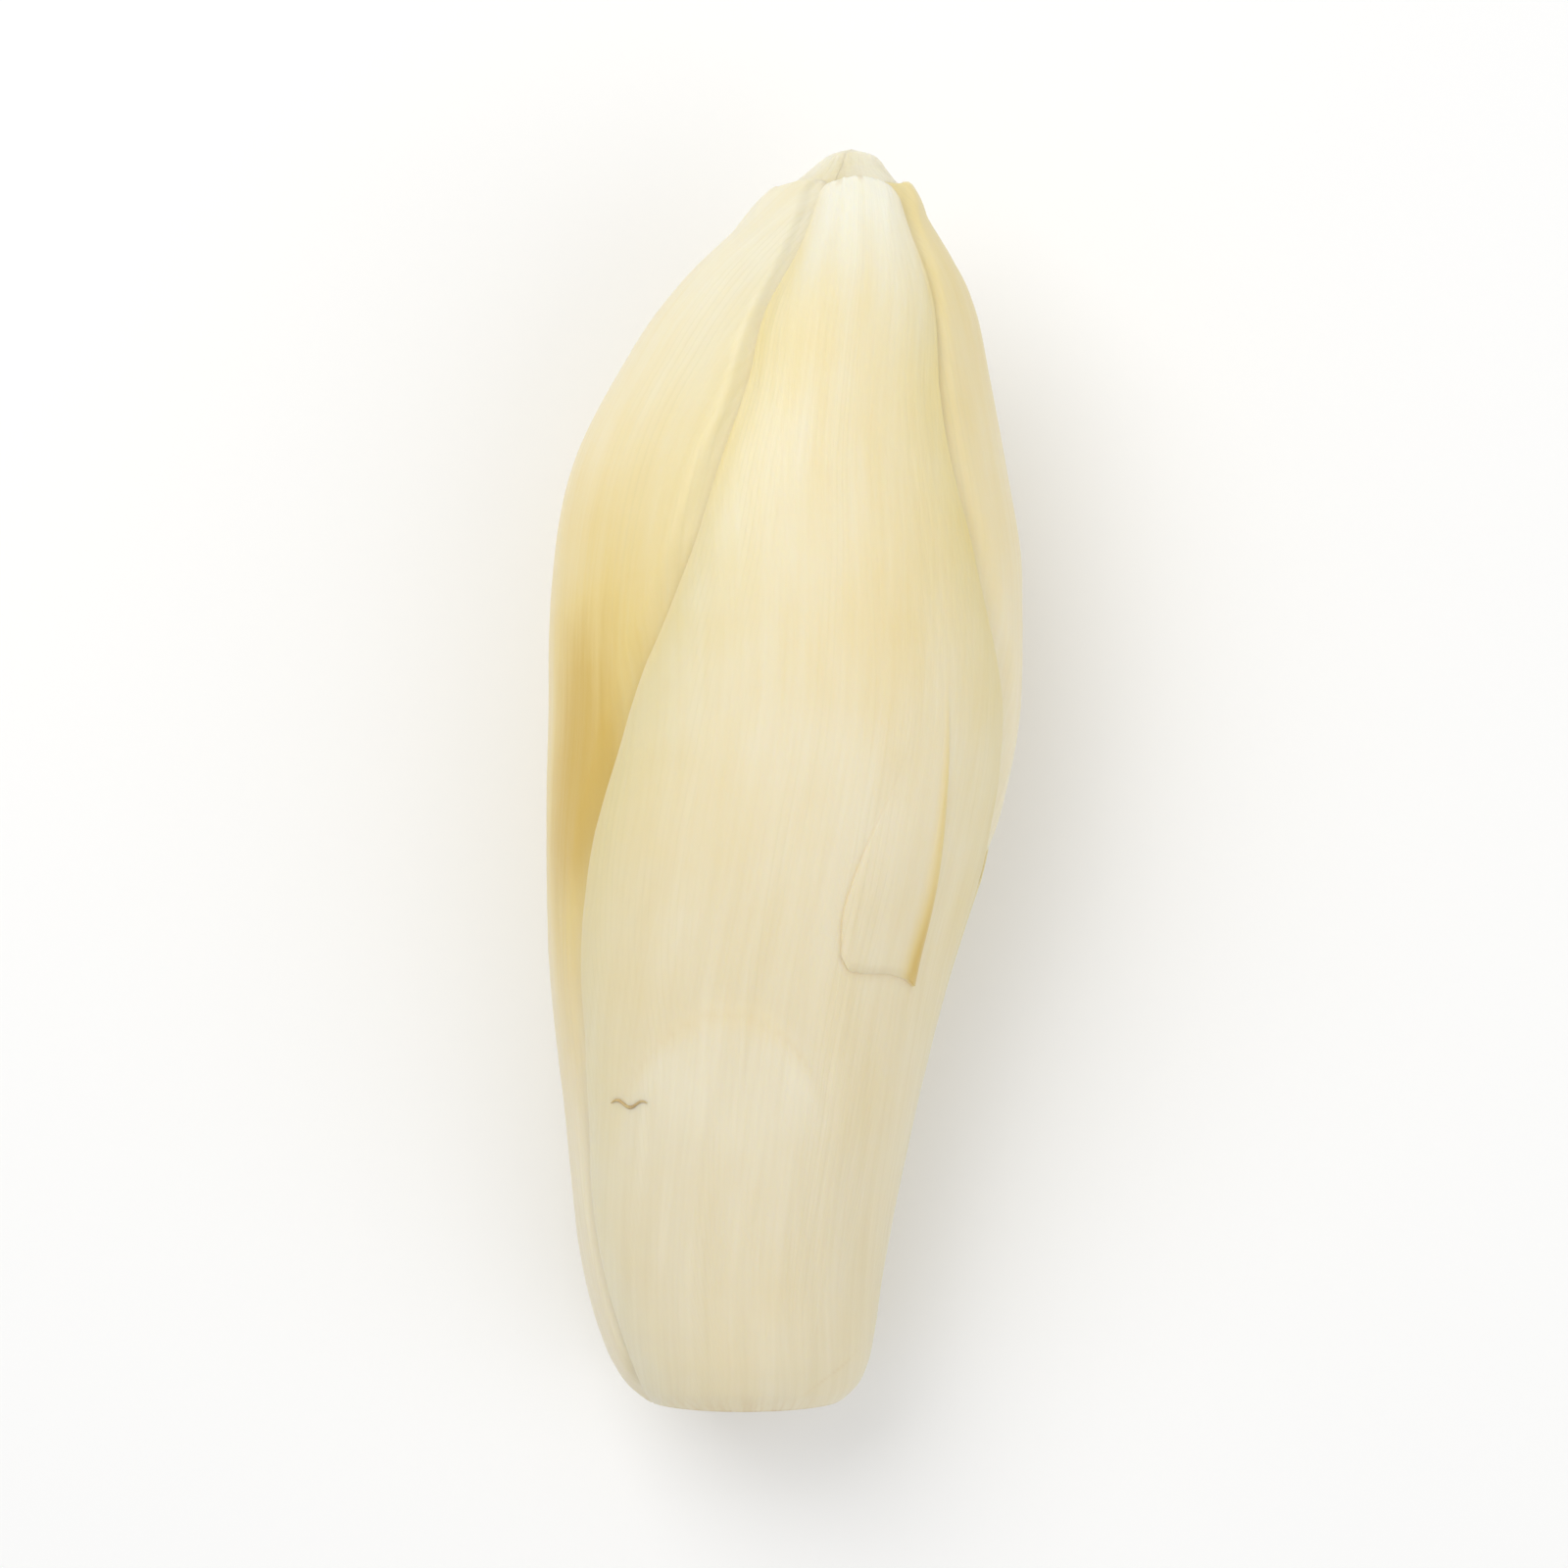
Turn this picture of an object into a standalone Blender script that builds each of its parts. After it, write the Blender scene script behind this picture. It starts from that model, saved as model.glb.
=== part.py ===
"""A head of Belgian endive, as cut from its root, lying on its side with the tip towards +Y.

The head is a short conical stem with a heart of small leaves on top of it, wrapped in a spiral of
large leaves. Every leaf is a separate object. The leaves are draped from the outside in: the first
one follows the outline of the head, and each next one lies under the leaves that came before it.

A place on the head is given by its station (0 at the cut, 1 at the tip), its angle round the spine
(0 at +X, 90 degrees straight up) and its depth under the outline of the head.
"""

import math
from dataclasses import dataclass, replace
from functools import partial

import bmesh
import bpy
import numpy as np

# --- Driving dimensions, in metres ---------------------------------------------------------------
HEAD_LENGTH = 0.158
HEAD_RADIUS = 0.0302
HEAD_HEIGHT_SHARE = 0.96  # height of the cross-section over its width
SPINE_HEIGHT = 0.0270  # of the spine over the surface, at REST_STATION
REST_STATION = 0.50
REST_SLOPE = 0.112  # how much the spine rises towards the tip, so that it lies on its belly
LEAF_GAP = 0.0005  # free space between one leaf and the next
EDGE_THICKNESS = 0.0008
BASE_NECK = 0.6  # a leaf's thickness where it joins the stem, over that a little higher up
NECK_LENGTH = 0.12  # share of the leaf's length
FOLD_REACH = 0.008  # how far a leaf takes to rise from under another leaf's edge
STEM_FOLD_REACH = 0.004  # the same for the stem, which swells between the leaves' bases

# Radius of the head over HEAD_RADIUS, and the spine's sideways place, at a few stations.
PROFILE_STATIONS = (
    *(0.0, 0.012, 0.03, 0.06, 0.1, 0.24, 0.35, 0.45, 0.54),
    *(0.62, 0.70, 0.76, 0.82, 0.88, 0.93, 0.965, 0.985, 1.0),
)
PROFILE_SHARES = (
    *(0.42, 0.49, 0.545, 0.594, 0.635, 0.755, 0.852, 0.943, 0.987),
    *(0.998, 0.962, 0.893, 0.783, 0.648, 0.49, 0.325, 0.20, 0.08),
)
SPINE_STATIONS = (0.00, 0.10, 0.24, 0.35, 0.45, 0.54, 0.66, 0.76, 0.84, 0.90, 0.95, 1.00)
SPINE_OFFSETS = (
    *(-0.0051, -0.0065, -0.0057, -0.0045, -0.0023, -0.0004),
    *(0.0002, 0.0007, 0.0029, 0.0051, 0.0069, 0.0084),
)

# Half the width of a leaf, as a share of its widest, along its length from base to tip.
WIDTH_STATIONS = (0.00, 0.16, 0.31, 0.39, 0.47, 0.55, 0.65, 0.74, 0.82, 0.88, 0.94, 1.00)
BROAD_SHARES = (0.60, 0.80, 0.95, 0.99, 1.00, 0.98, 0.93, 0.86, 0.77, 0.67, 0.52, 0.28)
BROAD_BASED_SHARES = (0.64, 0.95, 1.08, 1.08, 1.03, 0.98, 0.93, 0.86, 0.77, 0.67, 0.52, 0.28)
SLENDER_SHARES = (0.56, 0.80, 0.91, 0.98, 0.975, 0.90, 0.685, 0.50, 0.40, 0.37, 0.29, 0.20)
TIP_ROUNDING = 0.04  # share of the leaf's length over which its tip rounds off
WIDEST_HALF_ANGLE = math.radians(125)

# The field that the leaves are draped with: rows along the head, columns round it.
FIELD_ROWS = 159
FIELD_COLUMNS = 180

# Leaf meshes: rows along a leaf, columns across it.
OUTER_LEAF_ROWS, OUTER_LEAF_COLUMNS = 17, 18
INNER_LEAF_ROWS, INNER_LEAF_COLUMNS = 14, 13
ROW_EASING = 0.35
TIP_ROWS_POWER = 1.15

GOLDEN_ANGLE = 137.5
OUTER_LEAVES = 4
INNER_LEAVES = 12
INNER_TIPS = (0.987, 0.994, 0.980, 0.972, 0.964, 0.954, 0.942, 0.929, 0.916, 0.903, 0.890, 0.877)
LEAST_RADIUS = 0.0022  # of a leaf's inner face near its base, where there is no stem
LEAST_TIP_RADIUS = 0.0006  # the same in its upper half
SETTLING_STEP = 0.004  # by which a leaf's base is raised, or its tip lowered, until it has room

STEM_STATIONS = (0.00, 0.05, 0.11, 0.17, 0.23, 0.28, 0.31, 0.325)
STEM_RADII = (0.0076, 0.0077, 0.0067, 0.0054, 0.0038, 0.0026, 0.0016, 0.0007)
STEM_SWELLING = 1.4  # most that the stem swells beyond these radii, where the leaves leave room
HEART_START = 0.345
HEART_END = 0.80
HEART_RADIUS = 0.0085


@dataclass(frozen=True)
class Leaf:
    """One leaf: where it stands round the head, how long and wide it is, and how it is shaped."""

    name: str
    angle: float  # degrees, of its middle
    base: float  # station of its lower end
    tip: float  # station of its upper end
    half_width: float  # metres, at its widest
    rib: float  # metres, thickness of its middle at the base
    shares: tuple = BROAD_SHARES
    swing: float = 0.0  # degrees that its lower part is turned round the spine
    phase: float = 0.0  # where the waves of its margin start


def all_leaves():
    """The leaves from the outermost to the innermost."""
    leaves = [
        Leaf("leaf_01", 75.0, 0.0, 0.975, 0.0330, 0.0036, SLENDER_SHARES, 0.0, 0.4),
        Leaf("leaf_02", 281.0, 0.0, 1.000, 0.0385, 0.0034, BROAD_BASED_SHARES, -4.0, 2.1),
        Leaf("leaf_03", 165.0, 0.012, 0.957, 0.0415, 0.0036, BROAD_SHARES, 6.0, 3.3),
        Leaf("leaf_04", 14.0, 0.03, 0.967, 0.0400, 0.0036, BROAD_SHARES, 6.0, 5.2),
    ]
    for k in range(INNER_LEAVES):
        number = len(leaves) + 1
        leaves.append(
            Leaf(
                f"leaf_{number:02d}",
                angle=(245.0 - GOLDEN_ANGLE * k) % 360.0,
                base=0.060 + 0.014 * k,
                tip=INNER_TIPS[k],
                half_width=0.0375 - 0.0006 * k,
                rib=0.0034 - 0.0001 * k,
                swing=10.0,
                phase=1.7 * number,
            )
        )
    return leaves


# --- Curves and fields ---------------------------------------------------------------------------
def smooth_curve(places, values, at):
    """The values at some places, read from a smooth curve through a few points."""
    places, values = np.asarray(places), np.asarray(values)
    slopes = np.gradient(values, places)
    at = np.clip(at, places[0], places[-1])
    k = np.clip(np.searchsorted(places, at, side="right") - 1, 0, len(places) - 2)
    span = places[k + 1] - places[k]
    x = (at - places[k]) / span
    return (
        values[k] * (1 + 2 * x) * (1 - x) ** 2
        + slopes[k] * span * x * (1 - x) ** 2
        + values[k + 1] * x**2 * (3 - 2 * x)
        + slopes[k + 1] * span * x**2 * (x - 1)
    )


def smooth_step(x):
    """0 below 0, 1 above 1, with a smooth rise between."""
    x = np.clip(x, 0, 1)
    return x * x * (3 - 2 * x)


def head_radius(station, angle):
    """Radius of the head's outline, a round spindle with a slight twist of three low lobes."""
    round_part = HEAD_RADIUS * smooth_curve(PROFILE_STATIONS, PROFILE_SHARES, station)
    lobes = 0.012 * np.cos(3 * angle + 2.2 * station - 0.6) * np.sin(math.pi * station)
    return round_part * (1 + lobes)


def slant(station):
    """How much longer a radial cut through the outline is than one square to it."""
    step = 0.01
    rise = head_radius(station + step, 0.0) - head_radius(station - step, 0.0)
    return np.sqrt(1 + np.clip(rise / (2 * step * HEAD_LENGTH), -1.2, 1.2) ** 2)


def place(station, angle, radius):
    """The point at a station, an angle and a distance from the spine, in the head's resting pose."""
    spine_x = smooth_curve(SPINE_STATIONS, SPINE_OFFSETS, station)
    spine_z = SPINE_HEIGHT + REST_SLOPE * (station - REST_STATION) * HEAD_LENGTH
    x = spine_x + radius * np.cos(angle)
    y = (station - 0.5) * HEAD_LENGTH
    z = spine_z + HEAD_HEIGHT_SHARE * radius * np.sin(angle)
    return np.stack(np.broadcast_arrays(x, y, np.maximum(z, 0.0)), axis=-1)


def spread(field, rows, columns, pick):
    """Each value of the field becomes pick of those around it, within some rows and columns."""
    padded = np.pad(field, ((rows, rows), (0, 0)), mode="edge")
    high = len(field)
    along = pick([padded[i : i + high] for i in range(2 * rows + 1)], axis=0)
    return pick([np.roll(along, j, axis=1) for j in range(-columns, columns + 1)], axis=0)


def read_field(field, station, angle):
    """The field's value at a station and an angle, between its rows and columns."""
    row = np.clip(station, 0, 1) * (FIELD_ROWS - 1)
    column = (angle / (2 * math.pi)) % 1.0 * FIELD_COLUMNS
    i = np.minimum(row.astype(int), FIELD_ROWS - 2)
    j = column.astype(int) % FIELD_COLUMNS
    a, b = row - i, column - np.floor(column)
    k = (j + 1) % FIELD_COLUMNS
    low = field[i, j] * (1 - b) + field[i, k] * b
    high = field[i + 1, j] * (1 - b) + field[i + 1, k] * b
    return low * (1 - a) + high * a


def half_angle(leaf, along):
    """Half the angle that the leaf spans, at a share of its length."""
    station = leaf.base + (leaf.tip - leaf.base) * along
    share = smooth_curve(WIDTH_STATIONS, leaf.shares, along)
    rounding = np.clip((along - (1 - TIP_ROUNDING)) / TIP_ROUNDING, 0, 0.985)
    waves = np.sin(19 * along + leaf.phase) + 0.6 * np.sin(43 * along + 2 * leaf.phase)
    width = leaf.half_width * share * np.sqrt(1 - rounding**2) * (1 + 0.03 * waves * along**2)
    return np.minimum(width / head_radius(station, 0.0), WIDEST_HALF_ANGLE)


def middle_angle(leaf, along):
    """Angle of the leaf's middle, at a share of its length. Its lower part is turned by the swing."""
    turned = 1 - smooth_step((along - 0.28) / 0.36)
    return np.radians(leaf.angle + leaf.swing * turned)


def leaf_thickness(leaf, across, along):
    """Thickness of the leaf square to its surface: a thick rib at the base, thin margins."""
    middle = EDGE_THICKNESS + (leaf.rib - EDGE_THICKNESS) * (1 - 0.88 * along) ** 0.7
    neck = BASE_NECK + (1 - BASE_NECK) * smooth_step(along / NECK_LENGTH)
    flank = np.clip(1 - across**2, 0, 1) ** 0.85
    return EDGE_THICKNESS + (middle * neck - EDGE_THICKNESS) * flank


def leaf_radii(leaf, top, across, along):
    """Distances of the leaf's outer and inner faces from the spine."""
    station = leaf.base + (leaf.tip - leaf.base) * along
    angle = middle_angle(leaf, along) + across * half_angle(leaf, along)
    outer = head_radius(station, angle) - read_field(top, station, angle)
    return outer, outer - leaf_thickness(leaf, across, along) * slant(station)


def field_places():
    """The stations and angles of the field's points."""
    station, angle = np.meshgrid(
        np.linspace(0, 1, FIELD_ROWS),
        np.linspace(0, 2 * math.pi, FIELD_COLUMNS, endpoint=False),
        indexing="ij",
    )
    return station, angle


def draped_top(taken, reach=FOLD_REACH):
    """Depth of a smooth surface that keeps under all that is taken already."""
    rows = round(reach / HEAD_LENGTH * FIELD_ROWS)
    columns = round(reach / HEAD_RADIUS / (2 * math.pi) * FIELD_COLUMNS)
    lowest = spread(taken, rows, columns, np.max)
    for _ in range(2):
        lowest = spread(lowest, rows // 2, columns // 2, np.mean)
    return lowest


def settled(leaf, top):
    """The leaf with its base raised and its tip lowered until it clears the stem and the spine."""
    across, along = np.meshgrid(np.linspace(-1, 1, 41), np.linspace(0, 1, 61))
    while True:
        station = leaf.base + (leaf.tip - leaf.base) * along
        outer, inner = leaf_radii(leaf, top, across, along)
        least = smooth_curve(STEM_STATIONS, STEM_RADII, station) + LEAF_GAP
        least = np.maximum(least, LEAST_RADIUS)
        tight = inner < np.where(along < 0.5, least, LEAST_TIP_RADIUS)
        if tight[along < 0.5].any():
            leaf = replace(leaf, base=leaf.base + SETTLING_STEP)
        elif tight.any():
            leaf = replace(leaf, tip=leaf.tip - SETTLING_STEP)
        else:
            return leaf


def taken_by(leaf, top):
    """Depth down to which the leaf, and the gap under it, fill the head. It is 0 beside the leaf."""
    station, angle = field_places()
    along = (station - leaf.base) / (leaf.tip - leaf.base)
    inside_length = (along >= 0) & (along <= 1)
    along = np.clip(along, 0, 1)
    turned = (angle - middle_angle(leaf, along) + math.pi) % (2 * math.pi) - math.pi
    across = turned / half_angle(leaf, along)
    thick = leaf_thickness(leaf, across, along) * slant(station)
    floor = np.where(inside_length & (abs(across) <= 1), top + thick + LEAF_GAP, 0.0)
    return spread(floor, 1, 2, np.max)


# --- Solids --------------------------------------------------------------------------------------
def material(name, colour, roughness):
    """A Principled material."""
    made = bpy.data.materials.new(name)
    made.use_nodes = True
    shader = made.node_tree.nodes["Principled BSDF"]
    shader.inputs["Base Color"].default_value = (*colour, 1.0)
    shader.inputs["Roughness"].default_value = roughness
    shader.inputs["Metallic"].default_value = 0.0
    return made


def add_object(name, mesh_source, finish, collection):
    """The bmesh as a smooth-shaded object of the collection."""
    bmesh.ops.recalc_face_normals(mesh_source, faces=mesh_source.faces)
    if mesh_source.calc_volume(signed=True) < 0:
        bmesh.ops.reverse_faces(mesh_source, faces=mesh_source.faces)
    mesh = bpy.data.meshes.new(name)
    mesh_source.to_mesh(mesh)
    mesh_source.free()
    mesh.materials.append(finish)
    mesh.shade_smooth()
    mesh.set_sharp_from_angle(angle=math.radians(50))
    made = bpy.data.objects.new(name, mesh)
    collection.objects.link(made)
    return made


def row_places(even):
    """Places of a leaf's rows along it: closer at its base, where it bulges, and at its tip."""
    eased = even - ROW_EASING * np.sin(2 * math.pi * even) / (2 * math.pi)
    return 1 - (1 - eased) ** TIP_ROWS_POWER


def leaf_solid(leaf, top, rows, columns):
    """A flat grid, bent to the leaf's outer face, and its copy pressed in by the leaf's thickness."""
    sheet = bmesh.new()
    bmesh.ops.create_grid(sheet, x_segments=columns, y_segments=rows, size=1.0)
    bmesh.ops.triangulate(sheet, faces=sheet.faces, quad_method="ALTERNATE")
    sheet.verts.ensure_lookup_table()
    flat = np.array([v.co for v in sheet.verts])
    across = flat[:, 0]
    along = row_places((flat[:, 1] + 1) / 2)
    station = leaf.base + (leaf.tip - leaf.base) * along
    angle = middle_angle(leaf, along) + across * half_angle(leaf, along)
    outer, inner = leaf_radii(leaf, top, across, along)
    outer_points = place(station, angle, outer)
    inner_points = place(station, angle, inner)

    count = len(sheet.verts)
    grown = bmesh.ops.extrude_face_region(sheet, geom=list(sheet.faces), use_keep_orig=True)
    copies = [v for v in grown["geom"] if isinstance(v, bmesh.types.BMVert)]
    for vert in copies:
        nearest = int(np.argmin(np.abs(flat - np.array(vert.co)).sum(axis=1)))
        vert.co = inner_points[nearest]
    sheet.verts.ensure_lookup_table()
    for index in range(count):
        sheet.verts[index].co = outer_points[index]
    return sheet


def spindle_solid(radius_at, start, end, rings, sides):
    """A sphere whose rings are placed along the spine, from one flat end to the other."""
    body = bmesh.new()
    bmesh.ops.create_uvsphere(body, u_segments=sides, v_segments=rings, radius=1.0)
    round_places = np.array([v.co for v in body.verts])
    ring = np.round(np.arccos(np.clip(-round_places[:, 2], -1, 1)) / math.pi * rings)
    angle = np.arctan2(round_places[:, 1], round_places[:, 0])
    share = np.clip((ring - 1) / (rings - 2), 0, 1)
    station = start + (end - start) * share
    on_spine = (ring == 0) | (ring == rings)
    radius = np.where(on_spine, 0.0, radius_at(station, angle))
    for vert, point in zip(body.verts, place(station, angle, radius)):
        vert.co = point
    return body


def stem_radius(free_depth, station, angle):
    """The stem is a cone with a rounded top, swollen where the leaves' bases leave it room."""
    free = head_radius(station, angle) - read_field(free_depth, station, angle)
    cone = smooth_curve(STEM_STATIONS, STEM_RADII, station)
    return np.clip(free, cone, STEM_SWELLING * cone)


def heart_radius(free_depth, station, angle):
    """The heart is a bud of small leaves, which show as ridges that climb round it."""
    free = head_radius(station, angle) - read_field(free_depth, station, angle)
    share = np.clip((station - HEART_START) / (HEART_END - HEART_START), 0.01, 0.985)
    bud = HEART_RADIUS * np.sin(math.pi * share**1.4) ** 0.7
    ridge = (angle / (2 * math.pi) * 3 + station * 4) % 1.0
    return np.minimum(free, bud * (0.92 + 0.08 * ridge))


def build():
    """Builds every piece of the head, from the outside in."""
    for old in list(bpy.data.objects):
        bpy.data.objects.remove(old)
    collection = bpy.data.collections.new("belgian_endive")
    bpy.context.scene.collection.children.link(collection)
    outer_finish = material("outer_leaf", (0.87, 0.81, 0.58), 0.42)
    inner_finish = material("inner_leaf", (0.90, 0.85, 0.62), 0.42)
    heart_finish = material("heart", (0.90, 0.82, 0.48), 0.45)
    stem_finish = material("stem", (0.84, 0.76, 0.62), 0.6)

    taken = np.zeros((FIELD_ROWS, FIELD_COLUMNS))
    for number, leaf in enumerate(all_leaves()):
        top = draped_top(taken)
        leaf = settled(leaf, top)
        outer = number < OUTER_LEAVES
        rows = OUTER_LEAF_ROWS if outer else INNER_LEAF_ROWS
        columns = OUTER_LEAF_COLUMNS if outer else INNER_LEAF_COLUMNS
        finish = outer_finish if outer else inner_finish
        add_object(leaf.name, leaf_solid(leaf, top, rows, columns), finish, collection)
        taken = np.maximum(taken, taken_by(leaf, top))
    fitted_heart = partial(heart_radius, draped_top(taken))
    heart = spindle_solid(fitted_heart, HEART_START, HEART_END, 16, 14)
    add_object("heart", heart, heart_finish, collection)
    fitted_stem = partial(stem_radius, draped_top(taken, STEM_FOLD_REACH))
    stem = spindle_solid(fitted_stem, STEM_STATIONS[0], STEM_STATIONS[-1], 20, 24)
    add_object("stem", stem, stem_finish, collection)


if __name__ == "__main__":
    build()
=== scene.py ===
"""The looks of a head of Belgian endive that lies on its side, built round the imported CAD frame.

Every CAD leaf is replaced by a finer one that is draped in the same way: a place on the head is
given by its station (0 at the cut, 1 at the tip), its angle round the spine (0 at +X, 90 degrees
straight up) and its depth under the head's outline. The leaves are laid from the outside in, and
each of them lies under the ones before it. Lengths are in metres.
"""

import logging
import math
from dataclasses import dataclass, field
from enum import Enum
from typing import Callable, Optional, Union

import bmesh
import bpy
import numpy as np
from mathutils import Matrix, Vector


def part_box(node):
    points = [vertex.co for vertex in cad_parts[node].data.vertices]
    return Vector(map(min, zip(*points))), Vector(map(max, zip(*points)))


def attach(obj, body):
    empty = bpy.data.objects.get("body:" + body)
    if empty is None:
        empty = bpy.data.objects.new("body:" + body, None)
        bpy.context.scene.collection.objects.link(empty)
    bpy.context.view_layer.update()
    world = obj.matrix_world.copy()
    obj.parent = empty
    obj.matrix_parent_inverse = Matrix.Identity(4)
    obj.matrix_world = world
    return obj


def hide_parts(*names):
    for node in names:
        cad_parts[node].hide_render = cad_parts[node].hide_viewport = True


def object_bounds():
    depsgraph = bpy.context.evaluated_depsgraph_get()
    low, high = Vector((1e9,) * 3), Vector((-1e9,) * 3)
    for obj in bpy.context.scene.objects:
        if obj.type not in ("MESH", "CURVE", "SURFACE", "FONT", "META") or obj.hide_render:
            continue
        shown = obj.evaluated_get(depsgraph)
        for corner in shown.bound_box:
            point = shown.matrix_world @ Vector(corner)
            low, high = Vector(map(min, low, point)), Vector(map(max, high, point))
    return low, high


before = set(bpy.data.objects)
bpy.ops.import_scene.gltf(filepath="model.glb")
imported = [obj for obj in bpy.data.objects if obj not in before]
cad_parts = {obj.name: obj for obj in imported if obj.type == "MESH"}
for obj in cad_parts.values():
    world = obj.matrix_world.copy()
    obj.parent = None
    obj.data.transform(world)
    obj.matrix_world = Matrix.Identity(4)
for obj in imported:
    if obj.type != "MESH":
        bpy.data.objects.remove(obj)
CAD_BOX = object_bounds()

log = logging.getLogger("endive")

Array = np.ndarray
Number = Union[float, Array]
Socket = bpy.types.NodeSocket
BODY = "root"
TURN = 2 * math.pi
TINY = 1e-4  # a share that counts as none


class Slot(Enum):
    """The record's material slots."""

    OUTER_LEAF = "outer_leaf"
    INNER_LEAF = "inner_leaf"
    HEART = "heart"
    STEM = "stem"


class Pattern(Enum):
    """A leaf's random patterns, each a number of steps from the leaf's own seed."""

    SURFACE = 0
    GROOVES = 20
    TIP = 40
    MARGIN = 60
    YELLOW = 80
    BROWN = 90
    CREASE = 95
    DENTS = 97


# --- Curves and noise ---
def smooth_step(x: Number) -> Array:
    """0 below 0, 1 above 1, with a smooth rise between."""
    x = np.clip(x, 0, 1)
    return x * x * (3 - 2 * x)


def rise(x: Number, start: float, length: float) -> Array:
    """0 up to a start, and 1 from a length beyond it, with a smooth rise between."""
    return smooth_step((x - start) / length)


def fall(x: Number, start: float, length: float) -> Array:
    """1 up to a start, and 0 from a length beyond it, with a smooth fall between."""
    return 1 - rise(x, start, length)


def bell(x: Number) -> Array:
    """1 at 0, falling away to both sides within about 2."""
    return np.exp(-np.square(x))


@dataclass(frozen=True)
class Curve:
    """A smooth curve through a few points."""

    places: tuple
    values: tuple

    def at(self, x: Number) -> Array:
        """Reads the curve.

        Args:
            x: the places to read it at.

        Returns:
            The values there; beyond its ends, the end values.
        """
        places, values = np.asarray(self.places), np.asarray(self.values)
        slopes = np.gradient(values, places)
        x = np.clip(x, places[0], places[-1])
        k = np.clip(np.searchsorted(places, x, side="right") - 1, 0, len(places) - 2)
        span = places[k + 1] - places[k]
        t = (x - places[k]) / span
        low = values[k] * (1 + 2 * t) * (1 - t) ** 2 + slopes[k] * span * t * (1 - t) ** 2
        return low + values[k + 1] * t**2 * (3 - 2 * t) + slopes[k + 1] * span * t**2 * (t - 1)


@dataclass(frozen=True)
class Noise:
    """Smooth random waves between about -1 and 1, the same on every run."""

    seed: int
    size: int = 61
    layers: tuple = ((0.5, 1.0, 0.75), (2.1, 2.03, 0.35))

    def at(self, x: Number, y: Number) -> Array:
        """Reads the waves, which are layers of a turn, a scale and a weight each.

        Args:
            x: the first coordinate, in waves.
            y: the second coordinate, in waves.

        Returns:
            The height at each place.
        """
        lattice = np.random.default_rng(self.seed).uniform(-1, 1, (self.size, self.size))
        x, y = np.broadcast_arrays(np.asarray(x, float), np.asarray(y, float))
        total = np.zeros(x.shape)
        for turn, scale, weight in self.layers:
            u = scale * (x * math.cos(turn) - y * math.sin(turn)) + 17.3
            v = scale * (x * math.sin(turn) + y * math.cos(turn)) + 5.9
            i, j = np.floor(u).astype(int), np.floor(v).astype(int)
            a, b = smooth_step(u - i), smooth_step(v - j)
            i, j = i % self.size, j % self.size
            k, m = (i + 1) % self.size, (j + 1) % self.size
            low = lattice[i, j] * (1 - b) + lattice[i, m] * b
            high = lattice[k, j] * (1 - b) + lattice[k, m] * b
            total += weight * (low * (1 - a) + high * a)
        return total

    def share(self, x: Number, y: Number) -> Array:
        """Reads the waves as values between about 0 and 1."""
        return 0.5 + 0.5 * self.at(x, y)


# --- The head's outline ---
@dataclass(frozen=True)
class HeadShape:
    """The outline of the whole head round its bent spine, in its resting pose."""

    length: float
    radius: float = 0.0302
    height_share: float = 0.96
    spine_height: float = 0.0270
    rest_slope: float = 0.112
    lobe_count: int = 3
    lobe_share: float = 0.012
    lobe_twist: float = 2.2
    lobe_start: float = 0.6
    steepest: float = 1.2
    profile: Curve = Curve(
        (0.0, 0.012, 0.03, 0.06, 0.1, 0.24, 0.35, 0.45, 0.54, 0.62)
        + (0.70, 0.76, 0.82, 0.88, 0.905, 0.93, 0.965, 0.985, 1.0),
        (0.42, 0.49, 0.545, 0.594, 0.635, 0.755, 0.852, 0.943, 0.987, 0.998)
        + (0.962, 0.893, 0.783, 0.644, 0.560, 0.450, 0.290, 0.175, 0.08),
    )
    spine: Curve = Curve(
        (0.00, 0.10, 0.24, 0.35, 0.45, 0.54, 0.66, 0.76, 0.84, 0.90, 0.95, 1.00),
        (-0.0051, -0.0065, -0.0057, -0.0045, -0.0023, -0.0004)
        + (0.0002, 0.0007, 0.0029, 0.0051, 0.0069, 0.0084),
    )

    def radius_at(self, station: Number, angle: Number) -> Array:
        """The outline's distance from the spine: round, with a slight twist of low lobes.

        Args:
            station: shares of the head's length.
            angle: angles round the spine, in radians.

        Returns:
            The distance at each place.
        """
        turned = self.lobe_count * angle + self.lobe_twist * station - self.lobe_start
        lobes = np.cos(turned) * np.sin(math.pi * station)
        return self.radius * self.profile.at(station) * (1 + self.lobe_share * lobes)

    def slant(self, station: Number) -> Array:
        """How much longer a radial cut through the outline is than one square to it.

        Args:
            station: shares of the head's length.

        Returns:
            The ratio of the two lengths at each place.
        """
        step = 0.01
        gain = self.radius_at(station + step, 0.0) - self.radius_at(station - step, 0.0)
        steepness = np.clip(gain / (2 * step * self.length), -self.steepest, self.steepest)
        return np.sqrt(1 + steepness**2)

    def point(self, station: Number, angle: Number, radius: Number) -> Array:
        """Places a point of the head.

        Args:
            station: share of the head's length.
            angle: angle round the spine, in radians.
            radius: distance from the spine.

        Returns:
            World coordinates, never under the surface that the head lies on nor outside its box.
        """
        lift = self.rest_slope * (station - 0.5) * self.length
        x = self.spine.at(station) + radius * np.cos(angle)
        y = (station - 0.5) * self.length
        z = self.spine_height + lift + self.height_share * radius * np.sin(angle)
        points = np.stack(np.broadcast_arrays(x, y, z), axis=-1)
        return np.clip(points, np.array(CAD_BOX[0]), np.array(CAD_BOX[1]))


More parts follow.
